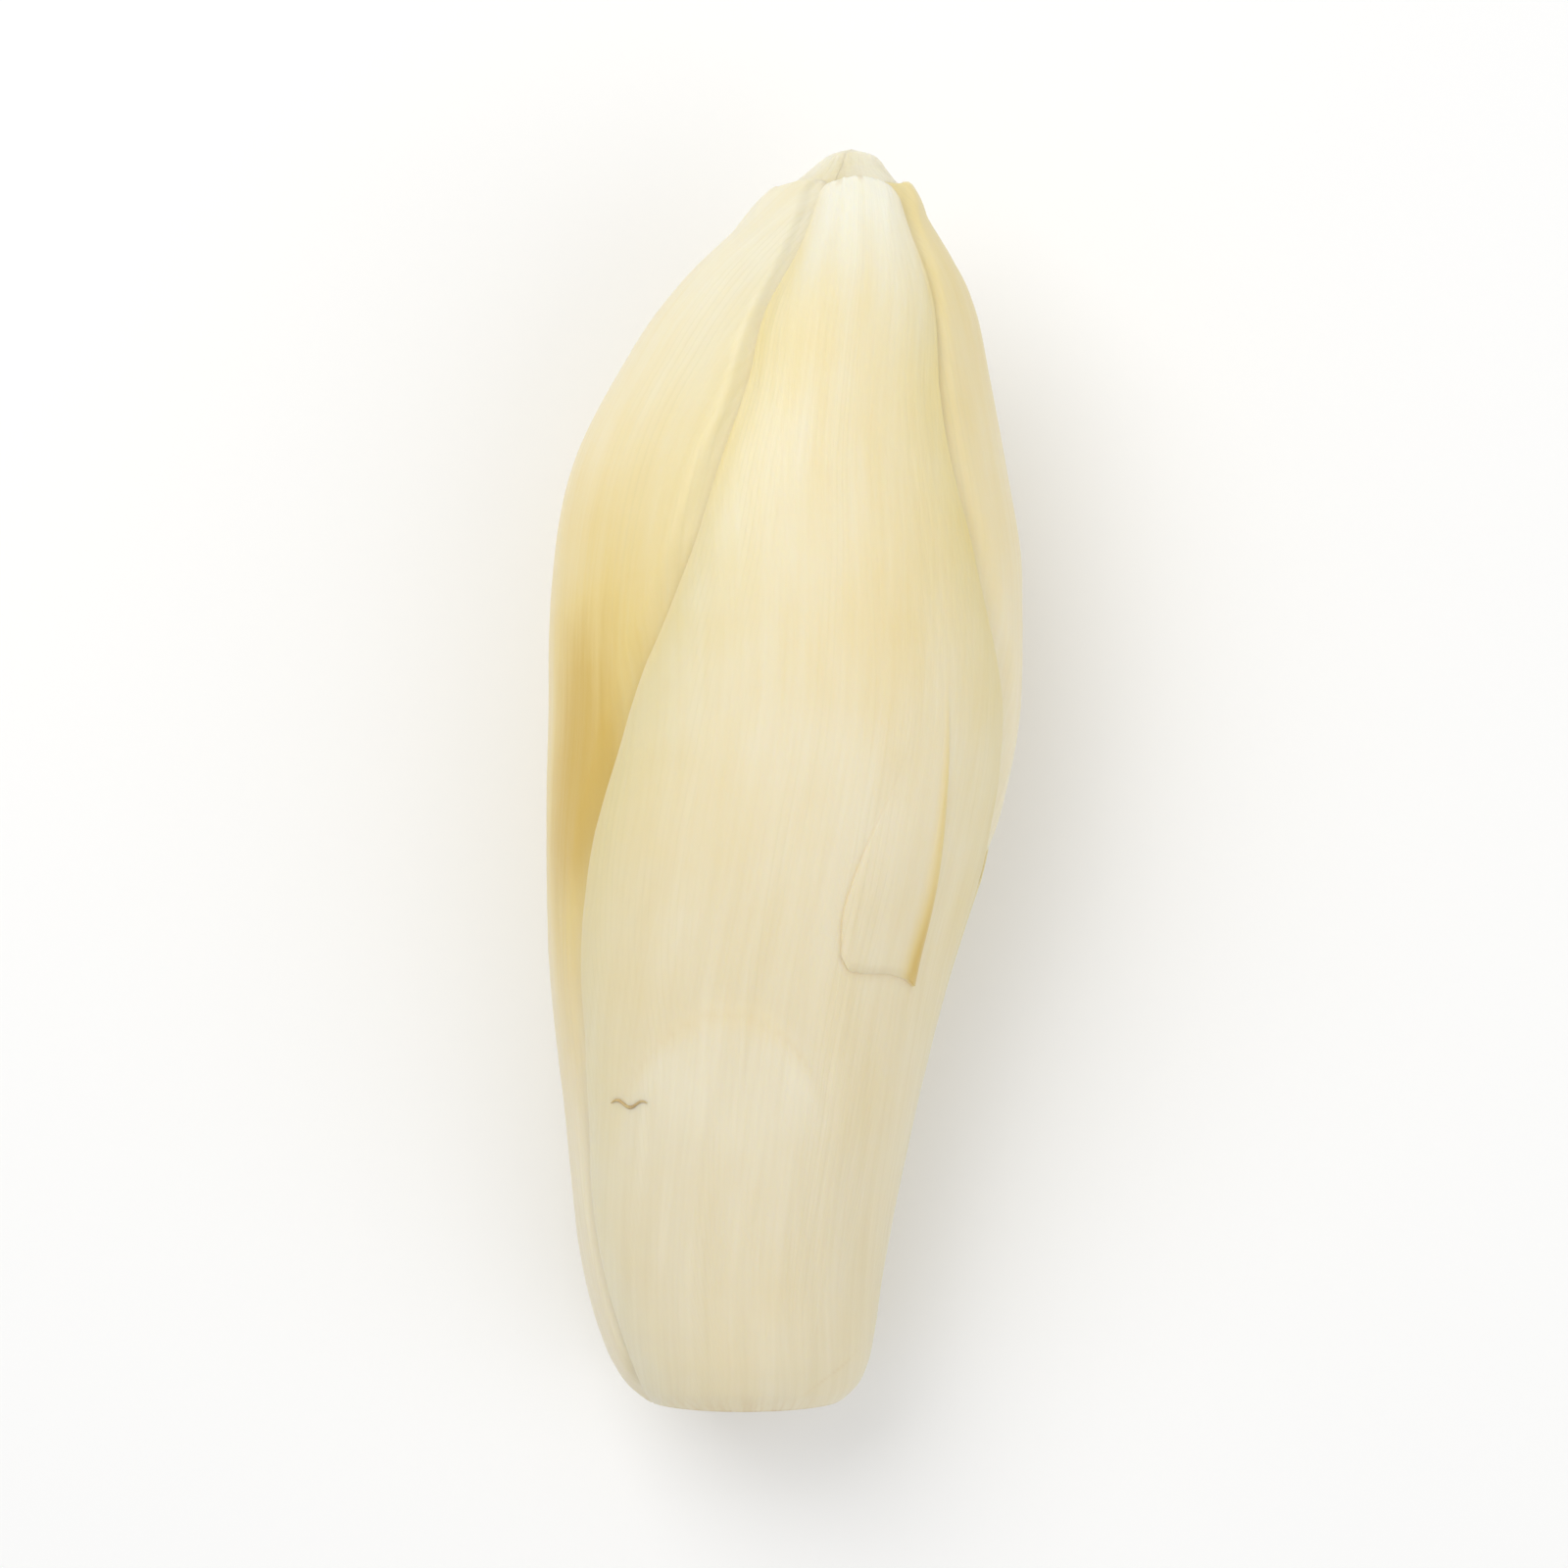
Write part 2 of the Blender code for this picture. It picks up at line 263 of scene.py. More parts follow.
class DepthField:
    """How deep the head is filled from outside, at points all over its outline."""

    rows: int = 317
    columns: int = 360

    def __init__(self, head: HeadShape) -> None:
        """Starts with nothing laid down.

        Args:
            head: the outline that depths are measured from.
        """
        self.head = head
        self.taken = np.zeros((self.rows, self.columns))
        stations = np.linspace(0, 1, self.rows)
        angles = np.linspace(0, TURN, self.columns, endpoint=False)
        self.station, self.angle = np.meshgrid(stations, angles, indexing="ij")

    @staticmethod
    def spread(depths: Array, rows: int, columns: int, pick: Callable) -> Array:
        """Combines each depth with those around it.

        Args:
            depths: the field's values.
            rows: how many rows to each side count.
            columns: how many columns to each side count.
            pick: how they are combined, such as np.max.

        Returns:
            The combined values.
        """
        padded = np.pad(depths, ((rows, rows), (0, 0)), mode="edge")
        high = len(depths)
        along = pick([padded[i : i + high] for i in range(2 * rows + 1)], axis=0)
        return pick([np.roll(along, j, axis=1) for j in range(-columns, columns + 1)], axis=0)

    def free(self, depths: Array, station: Array, angle: Array) -> Array:
        """How far from the spine the room under some depths reaches.

        Args:
            depths: the field's values, which are read between its rows and columns.
            station: shares of the head's length.
            angle: angles round the spine, in radians.

        Returns:
            The distance at each place.
        """
        row = np.clip(station, 0, 1) * (self.rows - 1)
        column = (angle / TURN) % 1.0 * self.columns
        i = np.minimum(row.astype(int), self.rows - 2)
        j = column.astype(int) % self.columns
        a, b = row - i, column - np.floor(column)
        k = (j + 1) % self.columns
        low = depths[i, j] * (1 - b) + depths[i, k] * b
        high = depths[i + 1, j] * (1 - b) + depths[i + 1, k] * b
        return self.head.radius_at(station, angle) - (low * (1 - a) + high * a)

    def drape(self, reach: float) -> Array:
        """A smooth surface that keeps under all that is laid down already.

        Args:
            reach: how far it takes to rise from under an edge.

        Returns:
            Its depth all over the field.
        """
        rows = max(1, round(reach / self.head.length * self.rows))
        columns = max(1, round(reach / self.head.radius / TURN * self.columns))
        lowest = self.spread(self.taken, rows, columns, np.max)
        for _ in range(2):
            lowest = self.spread(lowest, rows // 2, columns // 2, np.mean)
        return lowest

    def lay(self, floor: Array) -> None:
        """Fills the head down to a floor, which is 0 where nothing is added."""
        self.taken = np.maximum(self.taken, self.spread(floor, 1, 1, np.max))


# --- Leaves ---
BROAD = Curve(
    (0.00, 0.16, 0.31, 0.39, 0.47, 0.55, 0.65, 0.74, 0.82, 0.88, 0.94, 1.00),
    (0.60, 0.80, 0.95, 0.99, 1.00, 0.98, 0.93, 0.86, 0.78, 0.70, 0.60, 0.42),
)
BROAD_BASED = Curve(
    BROAD.places,
    (0.54, 0.95, 1.08, 1.08, 1.03, 0.98, 0.93, 0.86, 0.77, 0.67, 0.52, 0.28),
)
SLENDER = Curve(
    BROAD.places,
    (0.56, 0.80, 0.91, 0.98, 0.975, 0.90, 0.685, 0.50, 0.40, 0.36, 0.26, 0.17),
)


@dataclass(frozen=True)
class Spots:
    """Some places on a leaf: across it from -1 to 1, along it from 0 to 1, and on the head."""

    across: Array
    along: Array
    station: Array
    angle: Array

    @property
    def degrees(self) -> Array:
        """Their angles round the spine, in degrees."""
        return np.degrees(self.angle)


@dataclass(frozen=True)
class Patch:
    """A soft-edged area on the head, where a leaf's colour differs."""

    station: float
    degrees: float
    half_length: float
    half_degrees: float
    strength: float

    def at(self, spots: Spots) -> Array:
        """Reads the patch.

        Args:
            spots: places on a leaf.

        Returns:
            How strong it is at each place.
        """
        off = (spots.degrees - self.degrees + 180) % 360 - 180
        lengthwise = bell((spots.station - self.station) / self.half_length)
        return self.strength * lengthwise * bell(off / self.half_degrees)


@dataclass(frozen=True)
class Tooth:
    """A bit of a leaf's tip that reaches further up or out, or is bitten away where below 0."""

    across: float
    half_width: float
    height: float

    def at(self, across: Number) -> Array:
        """How much further the leaf reaches at some places across it."""
        return self.height * bell((across - self.across) / self.half_width)


@dataclass(frozen=True)
class Leaf:
    """One leaf: where it stands round the head, its form, and its colouring. Its angle is that of its
    middle, in degrees, and its tip's measures are stations."""

    node: str
    piece: str
    slot: Slot
    angle: float
    half_width: float
    rib: float
    widths: Curve = BROAD
    swing: float = 0.0
    lean: float = 0.0
    starts_at_cut: bool = False
    seed: int = 1
    phase: float = 0.0
    # The mesh.
    rows: int = 64
    columns: int = 46
    margin_packing: float = 0.55
    end_packing: float = 0.6
    # The blade.
    widest: float = math.radians(125)
    edge: float = 0.00035
    gap: float = 0.00012
    neck: float = 0.6
    neck_share: float = 0.12
    thinning: float = 0.93
    margin_waves: tuple = (19.0, 43.0)
    waviness: float = 0.03
    droop: float = 0.00022
    lift: float = 0.00045
    swell: float = 0.00030
    crinkle: float = 0.00016
    groove: float = 0.00006
    rib_spacing: float = 0.085
    # The tip.
    tip_drop: float = 0.05
    tip_reach: float = 0.0
    raggedness: float = 0.0035
    teeth: tuple = ()
    flares: tuple = ()
    # The colours.
    yellow_base: float = 0.06
    yellow_tip: float = 0.35
    yellow_margin: float = 0.45
    yellow: tuple = ()
    brown_cut: float = 0.32
    brown_tip: float = 0.25
    brown: tuple = ()
    # Painted shade: how strongly the flesh is painted darker and greyer at the head's base.
    painted_shade_strength: float = 0.36

    @property
    def ends(self) -> tuple:
        """Finds the leaf's ends from the CAD leaf.

        Returns:
            Stations of its lower and its upper end.
        """
        low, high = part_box(self.node)
        length = CAD_BOX[1][1] - CAD_BOX[0][1]
        middle = (CAD_BOX[1][1] + CAD_BOX[0][1]) / 2
        start = 0.0 if self.starts_at_cut else (low.y - middle) / length + 0.5
        return start, (high.y - middle) / length + 0.5

    def noise(self, pattern: Pattern) -> Noise:
        """The waves of one of the leaf's patterns."""
        return Noise(self.seed + pattern.value)

    def middle_angle(self, along: Number) -> Array:
        """Angle of the leaf's middle. Its lower part is turned by the swing."""
        return np.radians(self.angle + self.swing * fall(along, 0.28, 0.36))

    def half_angle(self, head: HeadShape, station: Number, along: Number) -> Array:
        """Half the angle that the leaf spans round the spine.

        Args:
            head: the outline of the head.
            station: shares of the head's length.
            along: the same places along the leaf.

        Returns:
            The angle at each place, in radians.
        """
        long, short = self.margin_waves
        waves = np.sin(long * along + self.phase) + 0.6 * np.sin(short * along + 2 * self.phase)
        width = self.half_width * self.widths.at(along) * (1 + self.waviness * waves * along**2)
        return np.minimum(width / head.radius_at(station, 0.0), self.widest)

    def spread(self, head: HeadShape, across: Array, along: Array) -> tuple:
        """Moves the mesh's columns towards the leaf's margins and its rows towards its ends.

        Args:
            head: the outline of the head; not used here.
            across: evenly spaced places across the leaf, from -1 to 1.
            along: evenly spaced places along it, from 0 to 1.

        Returns:
            The places across and along it at which the mesh's vertices stand.
        """
        across = across + self.margin_packing * np.sin(math.pi * across) / math.pi
        along = along - self.end_packing * np.sin(TURN * along) / TURN
        return across, along

    def shortfall(self, across: Array, along: Array) -> Array:
        """How far its rounded, ragged tip falls short of the leaf's upper end.

        Args:
            across: places across the leaf.
            along: the same places along it.

        Returns:
            The shortfall at each place, as a station; below 0 where a tooth reaches further up.
        """
        noise = self.noise(Pattern.TIP)
        ragged = self.raggedness * noise.share(across * 5.5, 0.4)
        fine = 0.35 * self.raggedness * noise.share(across * 15, 9.4)
        round_tip = self.tip_drop * (1 - np.sqrt(1 - (0.99 * across) ** 2))
        short = round_tip + ragged * abs(across) ** 0.5 + fine
        for tooth in self.teeth:
            short = short - tooth.at(across)
        stretch = 3 * max(self.tip_drop, 0.04)
        return np.maximum(short, -self.tip_reach) * smooth_step((along - 1 + stretch) / stretch)

    def closed(self, radius: Array, station: Array) -> Array:
        """Brings the leaf's outer face closer to the spine where it closes over the heart."""
        base, tip = self.ends
        return radius * (1 - self.lean * rise((station - base) / (tip - base), 0.78, 0.24))

    def thickness(self, spots: Spots) -> Array:
        """Thickness square to the leaf: a thick rib at its base, thin margins.

        Args:
            spots: places on the leaf.

        Returns:
            The thickness at each place.
        """
        middle = self.edge + (self.rib - self.edge) * (1 - self.thinning * spots.along) ** 0.85
        neck = self.neck + (1 - self.neck) * rise(spots.along, 0, self.neck_share)
        flank = np.clip(1 - spots.across**2, 0, 1) ** 1.15
        return self.edge + (middle * neck - self.edge) * flank

    def relief(self, spots: Spots) -> Array:
        """Depth of the leaf's own swells and crinkles, less the flare of its tip.

        Args:
            spots: places on the leaf.

        Returns:
            The depth at each place, under the surface that the leaf lies under.
        """
        across, along = spots.across, spots.along
        noise = self.noise(Pattern.SURFACE)
        swells = np.clip(noise.share(across * 2.3, along * 6.5), 0, 1)
        blade = rise(abs(across), 0.35, 0.5) * rise(along, 0.25, 0.3)
        crinkles = np.clip(noise.share(across * 9 + 3, along * 24), 0, 1)
        flared = sum(tooth.at(across) for tooth in self.flares) * rise(along, 0.97, 0.03)
        return self.swell * swells + self.crinkle * blade * crinkles - flared

    def vein(self, spots: Spots) -> Array:
        """Veins run up from the base and fan out: each keeps one value of this."""
        return spots.across / (0.4 + 0.6 * np.clip(spots.along, 0, 1) ** 0.8)

    def grooves(self, spots: Spots) -> Array:
        """Depth of the grooves between the ribs in the leaf's outer face.

        Args:
            spots: places on the leaf.

        Returns:
            The depth at each place.
        """
        noise = self.noise(Pattern.GROOVES)
        vein = self.vein(spots)
        wander = 0.30 * noise.at(vein * 4, spots.along * 5)
        wave = 0.5 - 0.5 * np.cos(TURN * (vein / self.rib_spacing + wander))
        uneven = np.clip(0.55 + 0.6 * noise.at(vein * 6 + 8, spots.along * 3), 0, 1)
        fade = (1 - spots.across**6) * rise(spots.along, 0, 0.08) * (1 - 0.4 * spots.along)
        return self.groove * wave * uneven * fade

    def margin(self, spots: Spots) -> Array:
        """How far the leaf's margins stand out from its surface.

        Args:
            spots: places on the leaf.

        Returns:
            The height at each place, below 0 where a margin presses in.
        """
        side, along = np.sign(spots.across), spots.along
        noise = self.noise(Pattern.MARGIN)
        waves = noise.at(along * 9 + 3 * side, side * 2.0)
        ruffle = noise.at(along * 30, side * 5.0)
        height = self.lift * (np.clip(waves - 0.1, 0, 1) + 0.35 * np.clip(ruffle, 0, 1)) - self.droop
        return height * rise(along, 0.10, 0.2) * rise(abs(spots.across), 0.84, 0.16)

    def raised(self, spots: Spots) -> Number:
        """How far parts of the leaf's outer face stand out from it."""
        return 0.0

    def inset(self, spots: Spots) -> Number:
        """How far the leaf's inner face lies back from its outer face, as a station."""
        return 0.0

    def softening(self, spots: Spots) -> Number:
        """How much of the usual rounding the leaf's edges have."""
        return 1.0

    def tucked(self, head: HeadShape, spots: Spots) -> Union[bool, Array]:
        """Whether places lie under the tips of leaves that are laid after this one."""
        return False

    def yellowness(self, spots: Spots) -> Array:
        """How yellow the leaf is: white ribs and base, yellow margins and tip.

        Args:
            spots: places on the leaf.

        Returns:
            The yellowness at each place, from 0 to 1.
        """
        noise = self.noise(Pattern.YELLOW)
        total = self.yellow_base + self.yellow_tip * rise(spots.along, 0.35, 0.6)
        blade = abs(spots.across) ** 3.5 * rise(spots.along, 0.18, 0.3)
        total = total + self.yellow_margin * blade
        streaks = 0.95 + 0.12 * noise.at(spots.degrees * 0.4, spots.station * 5)
        for patch in self.yellow:
            total = total + patch.at(spots) * streaks
        return np.clip(total + 0.05 * noise.at(spots.across * 5, spots.along * 9), 0, 1)

    def browning(self, spots: Spots) -> Array:
        """How browned the leaf is: its cut base, the rim of its tip, and a few old scars.

        Args:
            spots: places on the leaf.

        Returns:
            The browning at each place, from 0 to 1.
        """
        noise = self.noise(Pattern.BROWN)
        across, along = abs(spots.across), spots.along
        rim = rise(along, 0.992, 0.008) + rise(across, 0.99, 0.01) * (along > 0.93)
        patchy = smooth_step(2.5 * noise.at(spots.across * 9, along * 40) - 0.3)
        total = (spots.station < 0.0015) * self.brown_cut
        total = total + self.brown_tip * np.clip(rim, 0, 1) * patchy
        streaks = smooth_step(0.5 + 1.5 * noise.at(spots.degrees * 1.1, spots.station * 8))
        for patch in self.brown:
            total = total + patch.at(spots) * streaks
        return np.clip(total, 0, 1)

    def painted_base_shade_share(self, spots: Spots) -> Array:
        """Painted shade: how much darker and greyer the flesh is painted, most at the head's base and
        fading out towards its upper part.
        """
        return self.painted_shade_strength * fall(spots.station, 0.05, 0.75)


@dataclass(frozen=True)
class CappedLeaf(Leaf):
    """A leaf whose tip closes over the head's end in a small blunt dome."""

    dome: Curve = Curve(
        (0.945, 0.957, 0.966, 0.977, 0.985, 0.991, 0.996, 1.0),
        (0.0118, 0.0096, 0.0080, 0.0060, 0.0048, 0.0040, 0.0028, 0.0001),
    )
    closing: float = 0.963
    closing_length: float = 0.006
    closed_half: float = math.radians(179.9)
    open_half: float = math.radians(84)
    shell: float = 0.004
    dent: float = 0.0008
    narrowing: float = 0.88

    def own_half(self, head: HeadShape, station: Number, along: Number) -> Array:
        """Half the angle that the leaf spans below its dome, so that its neighbours' tips show.

        Args:
            head: the outline of the head.
            station: shares of the head's length.
            along: the same places along the leaf.

        Returns:
            The angle at each place, in radians.
        """
        half = super().half_angle(head, station, along)
        narrow = rise(station, self.narrowing, 0.06)
        return np.minimum(half, self.widest + (self.open_half - self.widest) * narrow)

    def around(self, station: Number) -> Array:
        """How far the leaf closes round the head's end."""
        return rise(station, self.closing, self.closing_length)

    def half_angle(self, head: HeadShape, station: Number, along: Number) -> Array:
        """Half the angle that the leaf spans: its tip goes nearly all the way round."""
        half = self.own_half(head, station, along)
        return half + (self.closed_half - half) * self.around(station)

    def tucked(self, head: HeadShape, spots: Spots) -> Array:
        """Whether places lie where the tip closes, under the tips of the leaf's neighbours.

        Args:
            head: the outline of the head.
            spots: places on the leaf.

        Returns:
            Whether each place does.
        """
        turned = abs(spots.across) * self.half_angle(head, spots.station, spots.along)
        beyond = turned > self.own_half(head, spots.station, spots.along)
        return beyond & (spots.station > self.closing)

    def ending(self, spots: Spots) -> Array:
        """How close some places are to the end of the dome."""
        return rise(spots.along, 0.985, 0.015)

    def thickness(self, spots: Spots) -> Array:
        """Thickness towards the spine; at the end of the dome the shell lies square to it."""
        return super().thickness(spots) * (1 - 0.98 * self.ending(spots))

    def inset(self, spots: Spots) -> Array:
        """How far the inner face lies back from the head's end, as a station."""
        return self.shell * self.ending(spots)

    def relief(self, spots: Spots) -> Array:
        """Depth of its swells and crinkles, and of the dome's dents, alike where its margins meet.

        Args:
            spots: places on the leaf.

        Returns:
            The depth at each place.
        """
        x, y = 2.6 * np.cos(spots.angle) + 40 * spots.station, 2.6 * np.sin(spots.angle)
        dents = np.clip(self.noise(Pattern.DENTS).share(x, y), 0, 1)
        around = self.around(spots.station)
        return super().relief(spots) * (1 - around) + self.dent * around * dents

    def margin(self, spots: Spots) -> Array:
        """How far its margins stand out, not at all on the dome."""
        return super().margin(spots) * fall(spots.along, 0.955, 0.012)

    def softening(self, spots: Spots) -> Array:
        """How rounded its edges are, sharp where its margins meet."""
        return 1 - self.around(spots.station)

    def closed(self, radius: Array, station: Array) -> Array:
        """Keeps the leaf's tip within the dome."""
        within = np.minimum(radius, self.dome.at(station))
        return np.where(station > self.dome.places[0], within, radius)


@dataclass(frozen=True)
class Tear:
    """A tongue in the front leaf, torn at its left and its lower end, with the leaf's yellow margin
    on its right. It stands a little out from the leaf below and fades into it at its top."""

    columns: tuple = (34, 74)
    low: Curve = Curve((0.0, 0.12, 0.35, 0.80, 0.93, 1.0), (0.341, 0.346, 0.351, 0.354, 0.357, 0.366))
    rim: Curve = Curve(
        (0.0, 0.20, 0.345, 0.40, 0.45, 0.50, 0.55, 0.60, 0.75, 1.0),
        (22.0, 30.0, 36.0, 37.4, 40.2, 43.3, 46.2, 48.5, 53.0, 60.0),
    )
    crack: Curve = Curve(
        (0.0, 0.20, 0.33, 0.36, 0.40, 0.43, 0.46, 0.50, 0.55, 0.60, 0.68, 0.80, 1.0),
        (60.0, 61.5, 63.0, 64.0, 66.5, 65.6, 63.3, 59.6, 56.2, 54.0, 55.0, 61.0, 72.0),
    )
    lip: float = 0.00012
    height: float = 0.00042
    roll: float = 0.00038
    line: float = 0.16

    def place(self, spots: Spots) -> tuple:
        """Where some places lie in the tongue.

        Args:
            spots: places on the leaf.

        Returns:
            How far they lie from its right margin (0) to its crack (1), how far above its torn end
            as a station, and whether they are on it.
        """
        rim, crack = self.rim.at(spots.station), self.crack.at(spots.station)
        side = (spots.degrees - rim) / (crack - rim)
        above = spots.station - self.low.at(side)
        return side, above, (side > -TINY) & (side < 1 + TINY) & (above > TINY / 10)

    def raised(self, spots: Spots) -> Array:
        """How far the tongue stands out.

        Args:
            spots: places on the leaf.

        Returns:
            The height at each place.
        """
        side, above, inside = self.place(spots)
        fade = 1 - smooth_step((above - 0.10 + 0.07 * side) / (0.15 - 0.03 * side))
        rounded = rise(side, 0, 0.10) * rise(1 - side, 0, 0.05)
        rounded = 0.7 + 0.3 * rounded * rise(above, 0, 0.006)
        margin = self.roll * bell((side - 0.06) / 0.085) * fall(above, 0.06, 0.20)
        return np.where(inside, self.height * rounded * fade + margin, 0.0)

    def yellowness(self, spots: Spots) -> Array:
        """How much yellower its right margin is, most so near its torn end.

        Args:
            spots: places on the leaf.

        Returns:
            The yellowness to add at each place.
        """
        side, above, inside = self.place(spots)
        margin = bell((side - 0.04) / (0.09 + 0.05 * bell(above / 0.04)))
        margin = margin * fall(above, 0.12, 0.13)
        return np.where(inside, (0.36 + 0.36 * bell(above / 0.06)) * margin, 0.0)

    def browning(self, spots: Spots) -> Array:
        """The faint brown line of its crack, its torn end and its right margin.

        Args:
            spots: places on the leaf.

        Returns:
            The browning to add at each place.
        """
        side, above, _ = self.place(spots)
        on_crack = bell((side - 1.01) / 0.02) * (above > -0.001) * fall(above, 0.08, 0.14)
        on_end = bell(above / 0.0012) * (side > -0.02) * (side < 1.03)
        on_rim = 0.5 * bell(side / 0.04) * (above > 0) * fall(above, 0.02, 0.05)
        return self.line * np.maximum(np.maximum(on_crack, on_end), on_rim)

    def spread(self, leaf: Leaf, head: HeadShape, across: Array, along: Array) -> tuple:
        """Lets two columns and one row of the leaf's mesh follow the tongue's edges.

        Args:
            leaf: the leaf that it is part of.
            head: the outline of the head.
            across: evenly spaced places across the leaf, from -1 to 1.
            along: the places of the mesh's rows along it, from 0 to 1.

        Returns:
            The places across and along it at which the mesh's vertices stand.
        """
        column = np.rint((across + 1) / 2 * leaf.columns)
        along = self._bend_row(leaf, head, column, along)
        return self._bend_columns(leaf, head, column, along), along

    def _bend_row(self, leaf: Leaf, head: HeadShape, column: Array, along: Array) -> Array:
        """Lets one row of the mesh follow the torn end, with the next one close above it.

        Args:
            leaf: the leaf that the tongue is part of.
            head: the outline of the head.
            column: the number of each vertex's column.
            along: the places of the mesh's rows along the leaf.

        Returns:
            The places along the leaf at which the vertices stand.
        """
        right, left = self.columns
        base, tip = leaf.ends
        rows = np.unique(along)
        row = np.searchsorted(rows, along - 1e-9)
        low_row = int(np.argmin(abs(rows - (self.low.at(0.5) - base) / (tip - base))))
        side = np.clip((column - right) / (left - right), 0, 1)
        aimed = (self.low.at(side) - base) / (tip - base)
        beside = np.maximum(right - column, column - left)
        bend = (aimed - rows[low_row]) * bell((row - low_row) / 12) * bell(np.maximum(beside, 0) / 8)
        step = rows[low_row + 1] - rows[low_row] - self.lip / head.length
        return along + bend - np.where(row > low_row, step * bell((row - low_row - 1) / 6), 0.0)

    def _bend_columns(self, leaf: Leaf, head: HeadShape, column: Array, along: Array) -> Array:
        """Lets two columns of the mesh follow the tongue's sides, each with another close by.

        Args:
            leaf: the leaf that the tongue is part of.
            head: the outline of the head.
            column: the number of each vertex's column.
            along: the places along the leaf at which the vertices stand.

        Returns:
            The places across the leaf at which the vertices stand.
        """
        right, left = self.columns
        base, tip = leaf.ends
        station = base + (tip - base) * along
        half = leaf.half_angle(head, station, along)
        middle = np.degrees(leaf.middle_angle(along))
        rim = np.radians(self.rim.at(station) - middle) / half
        crack = np.radians(self.crack.at(station) - middle) / half
        lip = self.lip / (half * head.radius_at(station, 0.0))
        places = (0, right - 1, right, left, left + 1, leaf.columns)
        values = (-1, rim - lip, rim, crack, crack + lip, 1)
        across = -np.ones(len(column))
        for k in range(len(places) - 1):
            share = np.clip((column - places[k]) / (places[k + 1] - places[k]), 0, 1)
            across = across + share * (values[k + 1] - values[k])
        return across


@dataclass(frozen=True)
class FrontLeaf(Leaf):
    """The outermost leaf, with a swollen dome near its base and a fine crease above the dome."""

    dome_station: float = 0.322
    dome_degrees: float = 95.0
    dome_half_degrees: float = 33.0
    dome_fall: float = 0.068
    dome_height: float = 0.0004
    dome_paleness: float = 0.075
    crease_width: float = 0.0035
    crease_line: float = 0.17
    tear: Tear = Tear()
    scar: Curve = Curve((24.0, 36.0, 48.0, 62.0), (0.052, 0.038, 0.026, 0.010))
    scar_degrees: float = 43.0
    scar_half_degrees: float = 15.0
    scar_width: float = 0.0016
    scar_line: float = 0.20

    def spread(self, head: HeadShape, across: Array, along: Array) -> tuple:
        """Packs the mesh's rows as on every leaf, and fits rows and columns to the tear."""
        _, packed = super().spread(head, across, along)
        return self.tear.spread(self, head, across, packed)

    def raised(self, spots: Spots) -> Array:
        """How far the torn tongue stands out."""
        return self.tear.raised(spots)

    def crease(self, spots: Spots) -> tuple:
        """Where some places lie from the crease.

        Args:
            spots: places on the leaf.

        Returns:
            How far above the crease each place is, as a station, and the crease's strength there.
        """
        off = (spots.degrees - self.dome_degrees) / self.dome_half_degrees
        above = spots.station - (self.dome_station - self.dome_fall * off**2)
        return above, smooth_step((1.25 - abs(off)) / 0.5)

    def relief(self, spots: Spots) -> Array:
        """Depth of the swells and crinkles, and of the hollow above the dome.

        Args:
            spots: places on the leaf.

        Returns:
            The depth at each place.
        """
        above, strength = self.crease(spots)
        hollow = bell((above - 0.012) / 0.018) * strength
        rounded = rise(above, -0.004, 0.012) * bell(above / 0.05) * strength
        return super().relief(spots) + self.dome_height * (0.5 * hollow + 0.5 * rounded)

    def yellowness(self, spots: Spots) -> Array:
        """How yellow the leaf is; its dome is paler and the tongue's margin yellower.

        Args:
            spots: places on the leaf.

        Returns:
            The yellowness at each place, from 0 to 1.
        """
        above, strength = self.crease(spots)
        paler = self.dome_paleness * rise(-above, 0, 0.022) * rise(spots.station, 0.08, 0.16)
        total = super().yellowness(spots) - paler * strength
        return np.clip(total + self.tear.yellowness(spots), 0, 1)

    def browning(self, spots: Spots) -> Array:
        """How browned the leaf is, with its crease, the tongue's edges and a scar as faint lines.

        Args:
            spots: places on the leaf.

        Returns:
            The browning at each place, from 0 to 1.
        """
        above, strength = self.crease(spots)
        uneven = 0.6 + 0.5 * self.noise(Pattern.CREASE).at(spots.angle * 6, 0.0)
        line = self.crease_line * bell(above / self.crease_width) * strength * uneven
        scarred = bell((spots.station - self.scar.at(spots.degrees)) / self.scar_width)
        scarred = scarred * bell((spots.degrees - self.scar_degrees) / self.scar_half_degrees)
        line = line + self.tear.browning(spots) + self.scar_line * scarred
        return np.clip(super().browning(spots) + line, 0, 1)


# --- Meshes ---
def select_only(*pieces: bpy.types.Object) -> None:
    """Selects some pieces and nothing else.

    Args:
        pieces: the pieces; the first of them becomes the active one.
    """
    bpy.ops.object.select_all(action="DESELECT")
    for piece in pieces:
        piece.select_set(True)
    if pieces:
        bpy.context.view_layer.objects.active = pieces[0]


def corners(piece: bpy.types.Object) -> Array:
    """Reads a piece's vertices.

    Args:
        piece: the piece.

    Returns:
        All of their X, then all of their Y and all of their Z.
    """
    flat = np.zeros(len(piece.data.vertices) * 3)
    piece.data.vertices.foreach_get("co", flat)
    return flat.reshape(-1, 3).T


